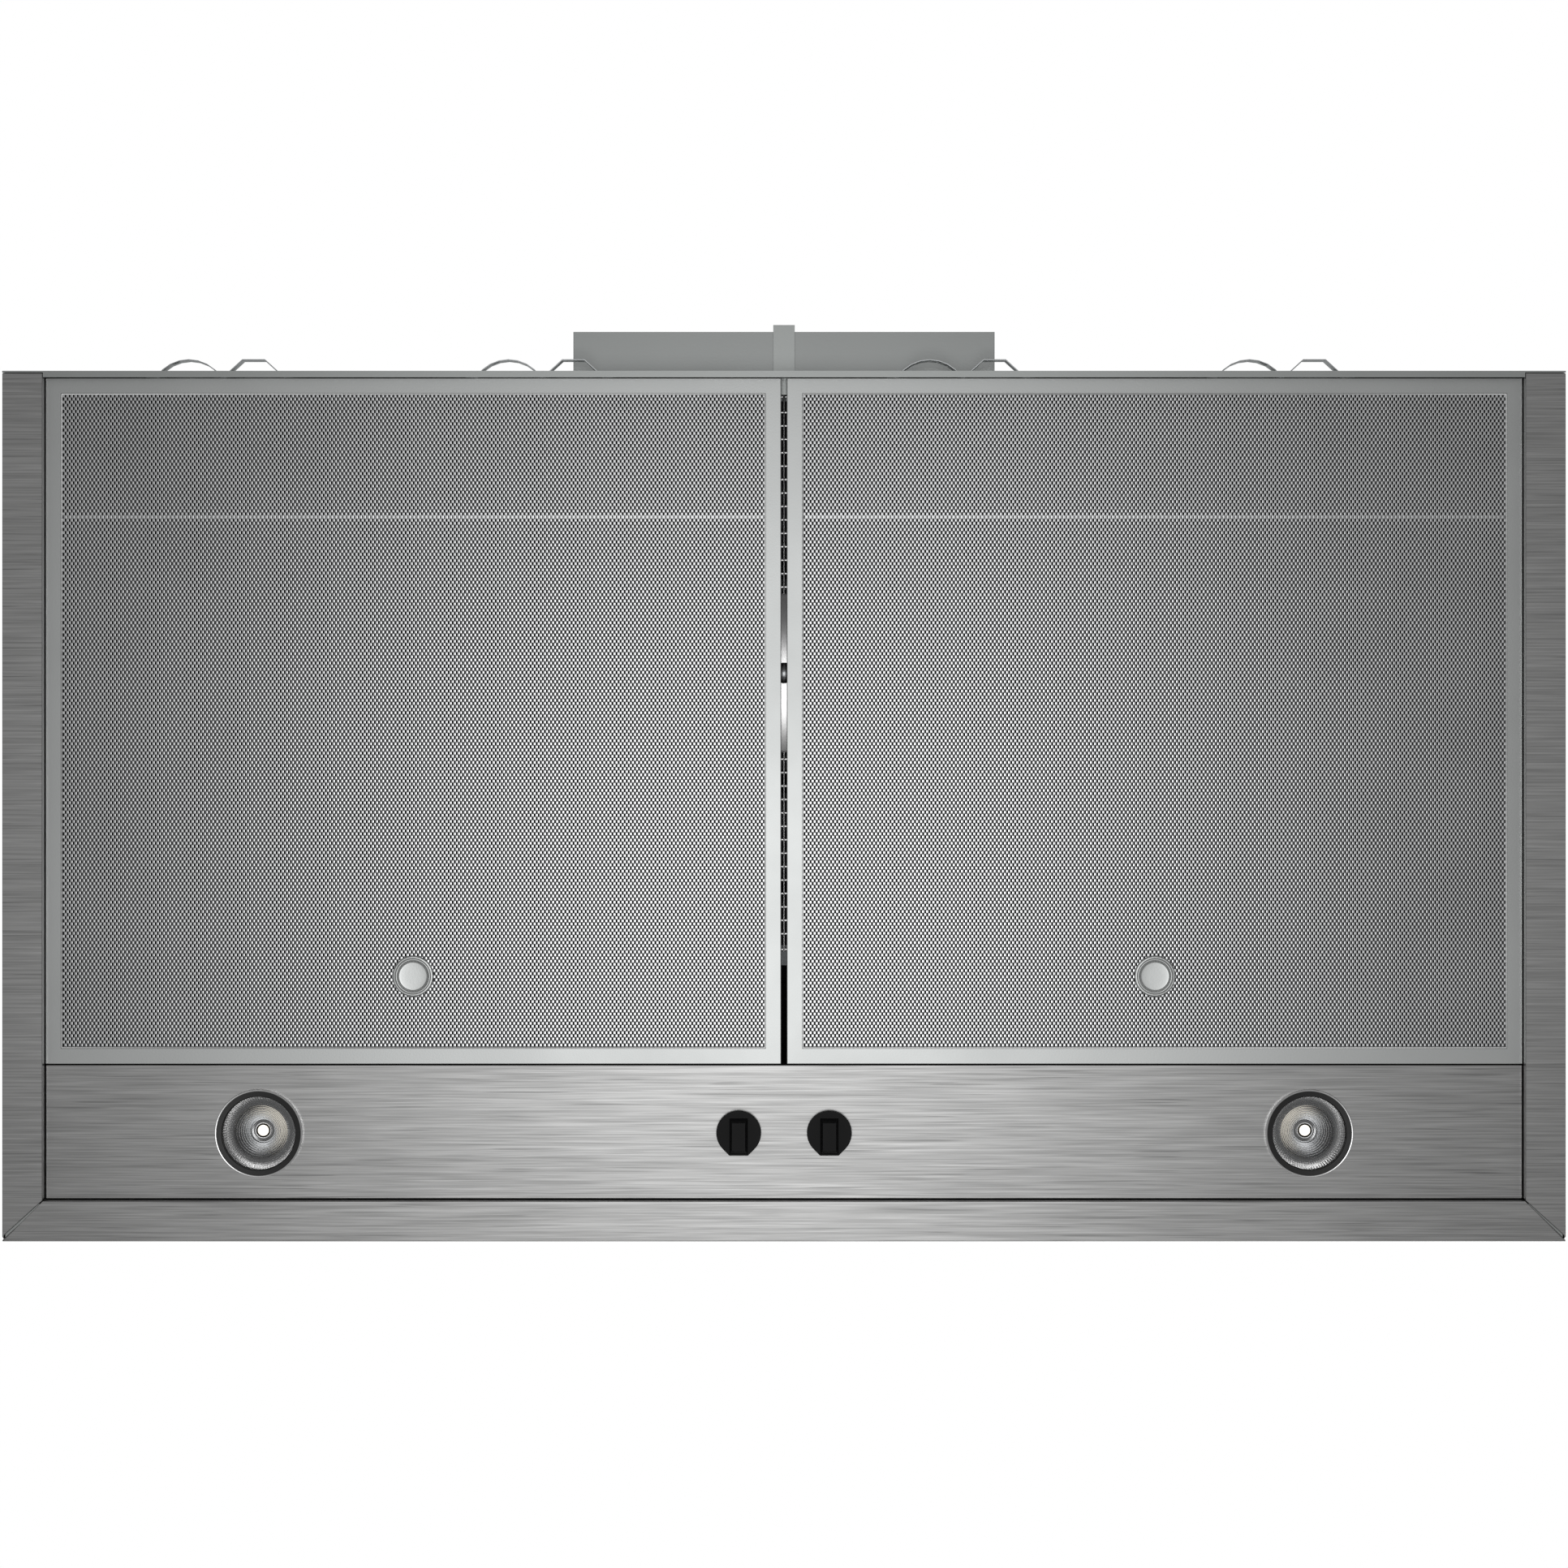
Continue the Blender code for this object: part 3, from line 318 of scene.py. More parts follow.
@dataclass(frozen=True)
class BrushedSteel:
    """Stainless steel with brush marks along X, or along Y on faces that look sideways."""

    name: str
    colour: tuple[float, float, float] = (0.435, 0.435, 0.432)
    roughness: float = 0.35
    contrast: float = 0.36
    density: float = 20.0

    def make(self, groups: ShaderGroups) -> bpy.types.Material:
        """Builds the material.

        Args:
            groups: The shared node groups.

        Returns:
            The material.
        """
        material, nodes, shader = start_material(self.name)
        grain = nodes.add("ShaderNodeGroup", node_tree=groups.grain)
        grain.inputs["Density"].default_value = self.density
        fine = nodes.math("MULTIPLY", grain.outputs["Fine"], 0.75)
        mark = nodes.math("ADD", fine, nodes.math("MULTIPLY", grain.outputs["Broad"], 0.25))
        mark = nodes.math("SUBTRACT", mark, nodes.math("MULTIPLY", grain.outputs["Scratch"], 0.35))
        low = scaled_colour(self.colour, 1 - self.contrast)
        high = scaled_colour(self.colour, 1 + self.contrast)
        nodes.link(two_tones(nodes, mark, low, high), shader.inputs["Base Color"])
        shader.inputs["Metallic"].default_value = 1.0
        rough = nodes.ramp(grain.outputs["Broad"], 0.0, 1.0, self.roughness + 0.02, self.roughness - 0.02)
        nodes.link(rough, shader.inputs["Roughness"])
        add_bump(nodes, shader, mark, 0.1, 0.00002)
        return material


@dataclass(frozen=True)
class SatinMetal:
    """Plain sheet or cast metal: soft blotches, a fine speckle and a painted highlight that lightens convex
    edges.
    """

    name: str
    colour: tuple[float, float, float]
    roughness: float = 0.42
    metallic: float = 1.0
    contrast: float = 0.02
    blotch: float = 18.0
    bump: float = 0.1
    # edge: strength of the painted highlight on convex edges
    edge: float = 0.25

    def make(self, groups: ShaderGroups) -> bpy.types.Material:
        """Builds the material.

        Args:
            groups: The shared node groups.

        Returns:
            The material.
        """
        material, nodes, shader = start_material(self.name)
        mottle = nodes.add("ShaderNodeGroup", node_tree=groups.mottle)
        mottle.inputs["Blotch Scale"].default_value = self.blotch
        low = scaled_colour(self.colour, 1 - self.contrast)
        high = scaled_colour(self.colour, 1 + self.contrast)
        base = two_tones(nodes, mottle.outputs["Blotch"], low, high)
        # Convex edges are lightened towards 1.6 times the colour: a painted edge highlight.
        worn_and_lit_edges = nodes.add("ShaderNodeGroup", node_tree=groups.worn_and_lit_edges)
        edge_highlight_mix = nodes.add("ShaderNodeMix", data_type="RGBA")
        nodes.link(nodes.math("MULTIPLY", worn_and_lit_edges.outputs["Worn And Lit Edge"], self.edge), edge_highlight_mix.inputs[0])
        nodes.link(base, edge_highlight_mix.inputs[6])
        edge_highlight_mix.inputs[7].default_value = (*scaled_colour(self.colour, 1.6), 1)
        nodes.link(edge_highlight_mix.outputs[2], shader.inputs["Base Color"])
        shader.inputs["Metallic"].default_value = self.metallic
        rough = nodes.ramp(
            mottle.outputs["Blotch"], 0.0, 1.0, self.roughness - 0.015, self.roughness + 0.015
        )
        nodes.link(rough, shader.inputs["Roughness"])
        add_bump(nodes, shader, mottle.outputs["Speckle"], self.bump, 0.00003)
        return material


@dataclass(frozen=True)
class MeshPackPaintedShade:
    """Stacked mesh: near-black painted shade of its depths wherever it faces down, perforated metal wherever
    it faces up.
    """

    name: str
    # dark: painted shade that stands in for the shade deep inside the stacked mesh.
    dark: tuple[float, float, float] = (0.03, 0.03, 0.031)
    metal: tuple[float, float, float] = (0.62, 0.63, 0.63)
    pitch: float = 2.4 * MM
    row: float = 1.82 * MM

    def make(self, groups: ShaderGroups) -> bpy.types.Material:
        """Builds the material.

        Args:
            groups: The shared node groups.

        Returns:
            The material.
        """
        material, nodes, shader = start_material(self.name)
        place = nodes.add("ShaderNodeTexCoord")
        spot = nodes.add("ShaderNodeSeparateXYZ")
        nodes.link(place.outputs["Object"], spot.inputs[0])
        facing = nodes.add("ShaderNodeSeparateXYZ")
        nodes.link(place.outputs["Normal"], facing.inputs[0])
        across = nodes.math("COSINE", nodes.math("MULTIPLY", spot.outputs["X"], 2 * math.pi / self.pitch))
        along = nodes.math("COSINE", nodes.math("MULTIPLY", spot.outputs["Y"], math.pi / self.row))
        strand = nodes.ramp(nodes.math("MULTIPLY", across, along), 0.1, 0.35, 1.0, 0.0)
        above = nodes.ramp(facing.outputs["Z"], 0.2, 0.6, 0.0, 1.0)
        mottle = nodes.add("ShaderNodeGroup", node_tree=groups.mottle)
        mottle.inputs["Blotch Scale"].default_value = 25.0
        metal = nodes.math("MULTIPLY", strand, above)
        shade = nodes.math("MULTIPLY", metal, nodes.ramp(mottle.outputs["Blotch"], 0.0, 1.0, 0.85, 1.0))
        # Faces that point down get the dark colour: painted shade of the pack's depths.
        nodes.link(two_tones(nodes, shade, self.dark, self.metal), shader.inputs["Base Color"])
        shader.inputs["Metallic"].default_value = 0.8
        nodes.link(nodes.ramp(metal, 0.0, 1.0, 0.7, 0.38), shader.inputs["Roughness"])
        add_bump(nodes, shader, strand, 0.5, 0.0003)
        return material


@dataclass(frozen=True)
class ZincSpangle:
    """Galvanised sheet: flat crystals, each with its own grey."""

    name: str
    colour: tuple[float, float, float] = (0.42, 0.44, 0.45)
    crystal: float = 70.0

    def make(self, groups: ShaderGroups) -> bpy.types.Material:
        """Builds the material.

        Args:
            groups: The shared node groups.

        Returns:
            The material.
        """
        material, nodes, shader = start_material(self.name)
        cells = nodes.add("ShaderNodeTexVoronoi", Scale=self.crystal)
        nodes.link(nodes.add("ShaderNodeTexCoord").outputs["Object"], cells.inputs["Vector"])
        tone = nodes.add("ShaderNodeSeparateColor")
        nodes.link(cells.outputs["Color"], tone.inputs[0])
        low, high = scaled_colour(self.colour, 0.85), scaled_colour(self.colour, 1.15)
        nodes.link(two_tones(nodes, tone.outputs[0], low, high), shader.inputs["Base Color"])
        shader.inputs["Metallic"].default_value = 1.0
        nodes.link(nodes.ramp(tone.outputs[1], 0.0, 1.0, 0.38, 0.55), shader.inputs["Roughness"])
        mottle = nodes.add("ShaderNodeGroup", node_tree=groups.mottle)
        add_bump(nodes, shader, mottle.outputs["Speckle"], 0.1, 0.00003)
        return material


@dataclass(frozen=True)
class MouldedPlastic:
    """Moulded plastic with a fine spark-eroded texture and slightly polished edges."""

    name: str
    colour: tuple[float, float, float]
    roughness: float = 0.42
    specular: float = 0.16
    grain_scale: float = 1800.0

    def make(self, groups: ShaderGroups) -> bpy.types.Material:
        """Builds the material.

        Args:
            groups: The shared node groups.

        Returns:
            The material.
        """
        material, nodes, shader = start_material(self.name)
        mottle = nodes.add("ShaderNodeGroup", node_tree=groups.mottle)
        mottle.inputs["Speckle Scale"].default_value = self.grain_scale
        low, high = scaled_colour(self.colour, 0.85), scaled_colour(self.colour, 1.25)
        nodes.link(two_tones(nodes, mottle.outputs["Blotch"], low, high), shader.inputs["Base Color"])
        worn_and_lit_edges = nodes.add("ShaderNodeGroup", node_tree=groups.worn_and_lit_edges)
        rough = nodes.ramp(worn_and_lit_edges.outputs["Worn And Lit Edge"], 0.0, 1.0, self.roughness, self.roughness * 0.6)
        nodes.link(rough, shader.inputs["Roughness"])
        shader.inputs["Specular IOR Level"].default_value = self.specular
        add_bump(nodes, shader, mottle.outputs["Speckle"], 0.2, 0.00003)
        return material


@dataclass(frozen=True)
class MirrorCoating:
    """Vapour-deposited aluminium on a moulded cup, with faint turning rings. Its default colour, which the
    cones keep, is darkened well below the facets' copy: painted shade.
    """

    name: str
    centre: tuple[float, float]
    # Default colour: darkened well below the facets' copy of the same coating, as painted shade on the cone.
    colour: tuple[float, float, float] = (0.42, 0.425, 0.43)
    pitch: float = 0.0011
    bump: float = 0.3
    smoothest: float = 0.16

    def make(self, groups: ShaderGroups) -> bpy.types.Material:
        """Builds the material.

        Args:
            groups: The shared node groups.

        Returns:
            The material.
        """
        material, nodes, shader = start_material(self.name)
        place = nodes.add("ShaderNodeSeparateXYZ")
        nodes.link(nodes.add("ShaderNodeTexCoord").outputs["Object"], place.inputs[0])
        squares = [
            nodes.math("POWER", nodes.math("SUBTRACT", place.outputs[i], self.centre[i]), 2.0)
            for i in range(2)
        ]
        radius = nodes.math("SQRT", nodes.math("ADD", *squares))
        wave = nodes.math("SINE", nodes.math("MULTIPLY", radius, 2 * math.pi / self.pitch))
        low, high = scaled_colour(self.colour, 0.8), self.colour
        ring = nodes.ramp(wave, -1.0, 1.0, 0.0, 1.0)
        nodes.link(two_tones(nodes, ring, low, high), shader.inputs["Base Color"])
        shader.inputs["Metallic"].default_value = 1.0
        mottle = nodes.add("ShaderNodeGroup", node_tree=groups.mottle)
        rough = nodes.ramp(mottle.outputs["Blotch"], 0.0, 1.0, self.smoothest, self.smoothest + 0.08)
        nodes.link(rough, shader.inputs["Roughness"])
        add_bump(nodes, shader, wave, self.bump, 0.00006)
        return material


@dataclass(frozen=True)
class GlowingEmitter:
    """A warm white light-emitting chip under a clear dome."""

    name: str
    colour: tuple[float, float, float] = (1.0, 0.93, 0.80)
    strength: float = 1.5

    def make(self, groups: ShaderGroups) -> bpy.types.Material:
        """Builds the material.

        Args:
            groups: The shared node groups.

        Returns:
            The material.
        """
        material, nodes, shader = start_material(self.name)
        mottle = nodes.add("ShaderNodeGroup", node_tree=groups.mottle)
        low, high = scaled_colour(self.colour, 0.9), self.colour
        tone = two_tones(nodes, mottle.outputs["Blotch"], low, high)
        nodes.link(tone, shader.inputs["Base Color"])
        nodes.link(tone, shader.inputs["Emission Color"])
        shader.inputs["Emission Strength"].default_value = self.strength
        shader.inputs["Roughness"].default_value = 0.3
        return material


class Finishes:
    """Every material of the hood, made once and handed out by name."""

    def __init__(self) -> None:
        """Builds the shared groups and the materials."""
        groups = ShaderGroups()
        lamps = {side: centre_of(f"{side}_lamp_reflector") for side in SIDES}
        finishes = [
            BrushedSteel("brushed_steel"),
            BrushedSteel("brushed_steel_panel", colour=(0.43, 0.43, 0.427)),
            SatinMetal("satin_steel", (0.50, 0.52, 0.512), roughness=0.37),
            SatinMetal("collar_steel", (0.42, 0.435, 0.43), roughness=0.37),
            SatinMetal("filter_frame_metal", (0.60, 0.615, 0.61), roughness=0.37),
            SatinMetal("mesh_metal", (0.735, 0.745, 0.75), roughness=0.30, contrast=0.03, edge=0.0),
            SatinMetal("pull_metal", (0.62, 0.635, 0.63), roughness=0.33, contrast=0.03),
            MeshPackPaintedShade("mesh_shadow"),
            SatinMetal("spring_metal", (0.62, 0.64, 0.65), roughness=0.3),
            SatinMetal("cast_metal", (0.42, 0.43, 0.44), roughness=0.5, contrast=0.1, bump=0.4),
            # Near-white colour stands in for light that barely reaches the guard's wires: painted light.
            SatinMetal("wire_metal_painted_light", (0.94, 0.94, 0.94), roughness=0.28),
            # The hem is a much lighter copy of the frame metal: a painted highlight.
            SatinMetal("hem_painted_highlight", (0.88, 0.885, 0.885), roughness=0.3, contrast=0.03, edge=0.0),
            SatinMetal("bezel_metal", (0.055, 0.055, 0.055), roughness=0.28, edge=0.0),
            # bezel_rim_metal: its light colour is a painted highlight on the bezel's rim; the emitter's clip
            # ring takes it too.
            SatinMetal("bezel_rim_metal", (0.75, 0.75, 0.75), roughness=0.25, edge=0.0),
            SatinMetal("black_paint", (0.02, 0.02, 0.02), roughness=0.5, metallic=0.0, edge=0.1),
            ZincSpangle("galvanised"),
            MouldedPlastic("black_plastic", (0.010, 0.010, 0.0105)),
            MouldedPlastic("white_plastic", (0.75, 0.75, 0.73)),
            GlowingEmitter("emitter_glow"),
        ]
        for side, place in lamps.items():
            centre = tuple(place[:2])
            # Cones keep the darkened default colour, painted shade; facets take the bright copy.
            finishes.append(MirrorCoating(f"{side}_cone", centre))
            finishes.append(
                MirrorCoating(f"{side}_facets", centre, (0.93, 0.93, 0.93), bump=0.0, smoothest=0.14)
            )
        self._made = {finish.name: finish.make(groups) for finish in finishes}

    def __getitem__(self, name: str) -> bpy.types.Material:
        """The material of that name."""
        return self._made[name]


# ---------------------------------------------------------------- mesh helpers

def centre_of(node: str) -> Vector:
    """Middle of a CAD node's box."""
    low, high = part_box(node)
    return (Vector(low) + Vector(high)) / 2


def new_piece(
    name: str, mesh: bpy.types.Mesh, material: bpy.types.Material, body: str
) -> bpy.types.Object:
    """Adds a visible piece that rides on a CAD body.

    Args:
        name: The piece's name.
        mesh: Its mesh, in world coordinates at rest.
        material: Its material.
        body: The CAD body that it moves with.

    Returns:
        The new object.
    """
    mesh.materials.append(material)
    obj = bpy.data.objects.new(name, mesh)
    bpy.context.scene.collection.objects.link(obj)
    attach(obj, body)
    LOG.info("%s: %d faces on %s", name, len(mesh.polygons), body)
    return obj


def mesh_from(bm: bmesh.types.BMesh, name: str, sharp: float = 35.0) -> bpy.types.Mesh:
    """Turns a bmesh into a smooth-shaded mesh.

    Args:
        bm: The bmesh, which is freed.
        name: The mesh's name.
        sharp: Angle in degrees above which an edge stays sharp.

    Returns:
        The mesh.
    """
    bmesh.ops.recalc_face_normals(bm, faces=bm.faces)
    mesh = bpy.data.meshes.new(name)
    bm.to_mesh(mesh)
    bm.free()
    mesh.shade_smooth()
    mesh.set_sharp_from_angle(angle=math.radians(sharp))
    return mesh


def piece_from(
    bm: bmesh.types.BMesh,
    name: str,
    material: bpy.types.Material,
    body: str,
    sharp: float = 35.0,
) -> bpy.types.Object:
    """Adds a smooth-shaded piece made from a bmesh.

    Args:
        bm: The bmesh, which is freed.
        name: The piece's name.
        material: Its material.
        body: The CAD body that it moves with.
        sharp: Angle in degrees above which an edge stays sharp.

    Returns:
        The new object.
    """
    return new_piece(name, mesh_from(bm, name, sharp), material, body)


def lathe(
    bm: bmesh.types.BMesh, profile: list[tuple[float, float]], centre: Vector, steps: int, closed: bool
) -> None:
    """Adds a turned shape about a vertical axis.

    Args:
        bm: The bmesh that it is added to.
        profile: (radius, height) points.
        centre: A point on the axis, whose height is added.
        steps: Segments round the axis.
        closed: Whether the profile's last point joins its first.
    """
    rings = []
    for radius, height in profile:
        if radius < 1e-7:
            rings.append([bm.verts.new(centre + Vector((0, 0, height)))] * steps)
            continue
        turns = (2 * math.pi * i / steps for i in range(steps))
        rings.append(
            [
                bm.verts.new(centre + Vector((radius * math.cos(a), radius * math.sin(a), height)))
                for a in turns
            ]
        )
    pairs = list(zip(rings, rings[1:]))
    if closed:
        pairs.append((rings[-1], rings[0]))
    for inner, outer in pairs:
        for i in range(steps):
            j = (i + 1) % steps
            corners = list(dict.fromkeys((inner[i], inner[j], outer[j], outer[i])))
            if len(corners) > 2:
                bm.faces.new(corners)


def soften(obj: bpy.types.Object, width: float, segments: int = 2) -> None:
    """Rounds the sharp edges of a CAD node's object.

    Args:
        obj: The object.
        width: Width of the rounding.
        segments: Steps in the rounding.
    """
    weld = obj.modifiers.new("weld", "WELD")
    weld.merge_threshold = 0.00001
    rounding = obj.modifiers.new("rounding", "BEVEL")
    rounding.width = width
    rounding.segments = segments
    rounding.limit_method = "ANGLE"
    rounding.angle_limit = math.radians(40)
    rounding.harden_normals = False


def dress(node: str, material: bpy.types.Material) -> bpy.types.Object:
    """Gives a CAD node's object another material.

    Args:
        node: The CAD node's name.
        material: The material.

    Returns:
        The node's object.
    """
    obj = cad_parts[node]
    for slot in obj.material_slots:
        slot.material = material
    return obj


def screw_head(
    name: str,
    place: Vector,
    facing: Vector,
    finishes: Finishes,
    body: str = "canopy",
    radius: float = 3.6 * MM,
) -> bpy.types.Object:
    """A pan-head screw with a cross recess.

    Args:
        name: The piece's name.
        place: Centre of the head's seat.
        facing: Direction that the head points in.
        finishes: The hood's materials.
        body: The CAD body that it rides on.
        radius: Radius of the head.

    Returns:
        The new object.
    """
    bm = bmesh.new()
    height = 0.6 * radius
    steps = 24
    profile = [(0.0, height)]
    profile += [
        (radius * math.sin(a), height * (0.35 + 0.65 * math.cos(a)))
        for a in (math.radians(d) for d in (15, 40, 65, 90))
    ]
    profile += [(radius, 0.0), (0.0, 0.0)]
    lathe(bm, profile, Vector(), steps, closed=False)
    arm, depth = 0.55 * radius, 0.35 * height
    for turn in (0.0, math.pi / 2):
        spin = Matrix.Rotation(turn, 4, "Z")
        at = Matrix.Translation((0, 0, height + 0.02 * MM - depth / 2))
        bmesh.ops.create_cube(
            bm, size=1.0, matrix=spin @ at @ Matrix.Diagonal((2 * arm, 0.18 * radius, depth * 0.2, 1))
        )
    turn = facing.to_track_quat("Z", "Y").to_matrix().to_4x4()
    bmesh.ops.transform(bm, matrix=Matrix.Translation(place) @ turn, verts=bm.verts)
    return piece_from(bm, name, finishes["spring_metal"], body)


# ---------------------------------------------------------------- studio

@dataclass
class Studio:
    """Pale floor, soft light and the camera, which looks straight up at the hood."""

    camera_place: tuple[float, float, float] = (0.0, 0.0129, -2.5524)
    lens: float = 94.4
    sensor: float = 36.0
    floor_height: float = -3.2
    floor_size: float = 60.0
    floor_seen: float = 0.85
    floor_bounce: float = 0.32
    ambient: float = 0.60
    key_watts: float = 6.9
    key_size: tuple[float, float] = (0.45, 0.90)
    key_place: tuple[float, float, float] = (0.03, -0.14, -2.8)
    top_watts: float = 40.0
    top_size: tuple[float, float] = (3.2, 3.2)
    top_place: tuple[float, float, float] = (-1.2, -1.6, 2.6)
    top_turn: tuple[float, float, float] = (math.radians(38), 0.0, math.radians(-37))

    def build(self) -> None:
        """Makes the floor, the world, the lights and the camera."""
        self._build_floor()
        self._build_world()
        self._add_area("key_light", self.key_place, (math.pi, 0, 0), self.key_size, self.key_watts)
        self._add_area("top_light", self.top_place, self.top_turn, self.top_size, self.top_watts)
        data = bpy.data.cameras.new("camera")
        data.lens, data.sensor_width = self.lens, self.sensor
        camera = bpy.data.objects.new("camera", data)
        camera.location = self.camera_place
        camera.rotation_euler = (0, math.pi, 0)
        bpy.context.scene.collection.objects.link(camera)
        bpy.context.scene.camera = camera
        bpy.context.scene.view_settings.view_transform = "Standard"

    def _build_floor(self) -> None:
        """A large pale floor well below the hood."""
        half = self.floor_size / 2
        bm = bmesh.new()
        bmesh.ops.create_grid(bm, x_segments=8, y_segments=8, size=half)
        bmesh.ops.translate(bm, vec=(0, 0, self.floor_height), verts=bm.verts)
        mesh = mesh_from(bm, "studio_floor")
        material, nodes, shader = start_material("floor_paint")
        noise = nodes.add("ShaderNodeTexNoise", Scale=3.0, Detail=4.0)
        nodes.link(nodes.add("ShaderNodeTexCoord").outputs["Object"], noise.inputs["Vector"])
        grey = [(value, value, value) for value in (self.floor_seen - 0.02, self.floor_seen + 0.02)]
        seen = nodes.add("ShaderNodeLightPath").outputs["Is Camera Ray"]
        pale = nodes.add("ShaderNodeMix", data_type="RGBA")
        nodes.link(seen, pale.inputs[0])
        pale.inputs[6].default_value = (self.floor_bounce, self.floor_bounce, self.floor_bounce, 1)
        nodes.link(two_tones(nodes, noise.outputs["Fac"], *grey), pale.inputs[7])
        nodes.link(pale.outputs[2], shader.inputs["Base Color"])
        shader.inputs["Roughness"].default_value = 0.7
        mesh.materials.append(material)
        floor = bpy.data.objects.new("studio_floor", mesh)
        bpy.context.scene.collection.objects.link(floor)
        floor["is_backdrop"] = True

    def _build_world(self) -> None:
        """White to the camera, softer as a light."""
        world = bpy.data.worlds.new("studio_world")
        world.use_nodes = True
        bpy.context.scene.world = world
        nodes = Nodes(world.node_tree)
        background = world.node_tree.nodes["Background"]
        background.inputs["Color"].default_value = (1, 1, 1, 1)
        seen = nodes.add("ShaderNodeLightPath").outputs["Is Camera Ray"]
        nodes.link(nodes.ramp(seen, 0.0, 1.0, self.ambient, 1.0), background.inputs["Strength"])

    @staticmethod
    def _add_area(
        name: str, place: tuple[float, ...], turn: tuple[float, ...], size: tuple[float, float], watts: float
    ) -> None:
        """Adds a rectangular soft light.

        Args:
            name: The light's name.
            place: Where it stands.
            turn: Its rotation in radians; at rest it shines down.
            size: Its sides.
            watts: Its power.
        """
        data = bpy.data.lights.new(name, "AREA")
        data.shape, data.energy = "RECTANGLE", watts
        data.size, data.size_y = size
        light = bpy.data.objects.new(name, data)
        light.location, light.rotation_euler = place, turn
        bpy.context.scene.collection.objects.link(light)


# ---------------------------------------------------------------- the hood's sub-assemblies

@dataclass
class Canopy:
    """Folded shell, side and rear panels, and what is fastened to them."""

    finishes: Finishes
    rounding: float = 0.5 * MM
    hole_x: float = 392 * MM
    hole_z: float = -26.4 * MM
    hole_radius: float = 11.1 * MM

    def build(self) -> None:
        """Adds the fasteners, corner plates, spot welds and the supply grommet."""
        self._add_cover_screws()
        self._add_corner_plates()
        self._add_spot_welds()
        self._add_grommet()

    def dress(self) -> None:
        """Gives the sheet-metal nodes their finishes and rounds their edges."""
        steel = self.finishes["brushed_steel"]
        for node, material in (
            ("canopy_shell", steel),
            ("left_side_panel", steel),
            ("right_side_panel", steel),
            ("rear_panel", self.finishes["satin_steel"]),
            ("rear_filter_rail", self.finishes["satin_steel"]),
            ("top_outlet_cover", self.finishes["galvanised"]),
        ):
            obj = dress(node, material)
            if node != "rear_panel":
                soften(obj, self.rounding)

    def _add_cover_screws(self) -> None:
        """Four screws in the corners of the top outlet's cover."""
        low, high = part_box("top_outlet_cover")
        inset = 5.5 * MM
        corners = [(x, y) for x in (low.x + inset, high.x - inset) for y in (low.y + inset, high.y - inset)]
        for i, (x, y) in enumerate(corners):
            screw_head(f"cover_screw_{i}", Vector((x, y, low.z)), Vector((0, 0, -1)), self.finishes)

    def _add_corner_plates(self) -> None:
        """A thin plate behind each mitre of the lip."""
        low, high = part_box("canopy_shell")
        sheet, inset, reach, half = 1.0 * MM, 1.6 * MM, 20.0 * MM, 4.0 * MM
        for side, sign in zip(SIDES, (-1, 1)):
            corner = Vector((sign * (high.x - inset), low.y + inset, low.z + 1.6 * sheet))
            inner = corner + Vector((-sign * reach, reach, 0))
            along = (inner - corner).normalized() * half
            across = Vector((along.y, -along.x, 0))
            start, end = corner + along, inner
            bm = bmesh.new()
            ring = [corner, start + across, end + across, end - across, start - across]
            bottom = [bm.verts.new(point) for point in ring]
            bm.faces.new(bottom)
            grown = bmesh.ops.extrude_face_region(bm, geom=list(bm.faces))
            tops = [item for item in grown["geom"] if isinstance(item, bmesh.types.BMVert)]
            bmesh.ops.translate(bm, vec=(0, 0, 0.6 * sheet), verts=tops)
            name = f"{side}_corner_plate"
            piece_from(bm, name, self.finishes["satin_steel"], "canopy")

    def _add_spot_welds(self) -> None:
        """Shallow round marks of the spot welds along the rear panel, clear of the collar."""
        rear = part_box("rear_panel")[1].y
        low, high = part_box("canopy_shell")
        bm = bmesh.new()
        radius, depth = 2.6 * MM, 0.25 * MM
        margin, clear, drop = 25 * MM, 150 * MM, 9 * MM
        for x in np.linspace(low.x + margin, high.x - margin, 15):
            if abs(x) < clear:
                continue
            turn = Matrix.Translation((x, rear, -drop)) @ Matrix.Rotation(-math.pi / 2, 4, "X")
            ring = bmesh.new()
            profile = [(0.0, depth * 0.4), (radius * 0.6, depth * 0.5), (radius * 0.8, depth), (radius, 0.0)]
            lathe(ring, profile, Vector(), 20, closed=False)
            bmesh.ops.transform(ring, matrix=turn, verts=ring.verts)
            mesh = bpy.data.meshes.new("weld")
            ring.to_mesh(mesh)
            ring.free()
            bm.from_mesh(mesh)
            bpy.data.meshes.remove(mesh)
        piece_from(bm, "rear_spot_welds", self.finishes["galvanised"], "canopy")

    def _add_grommet(self) -> None:
        """A rubber grommet in the supply hole of the rear panel."""
        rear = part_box("rear_panel")[1].y
        hole_r = self.hole_radius
        bm = bmesh.new()
        lip = 1.1 * MM
        profile = [
            (hole_r - 3 * MM, 1.6 * MM), (hole_r + 1.5 * MM, 1.6 * MM), (hole_r + 2.2 * MM, lip),
            (hole_r + 2.2 * MM, 0.05 * MM), (hole_r - 0.4 * MM, 0.05 * MM), (hole_r - 0.4 * MM, -3 * MM),
            (hole_r - 3 * MM, -3 * MM),
        ]
        lathe(bm, profile, Vector(), 40, closed=True)
        turn = Matrix.Translation((self.hole_x, rear, self.hole_z)) @ Matrix.Rotation(-math.pi / 2, 4, "X")
        bmesh.ops.transform(bm, matrix=turn, verts=bm.verts)
        plastic = self.finishes["black_plastic"]
        piece_from(bm, "supply_grommet", plastic, "canopy")


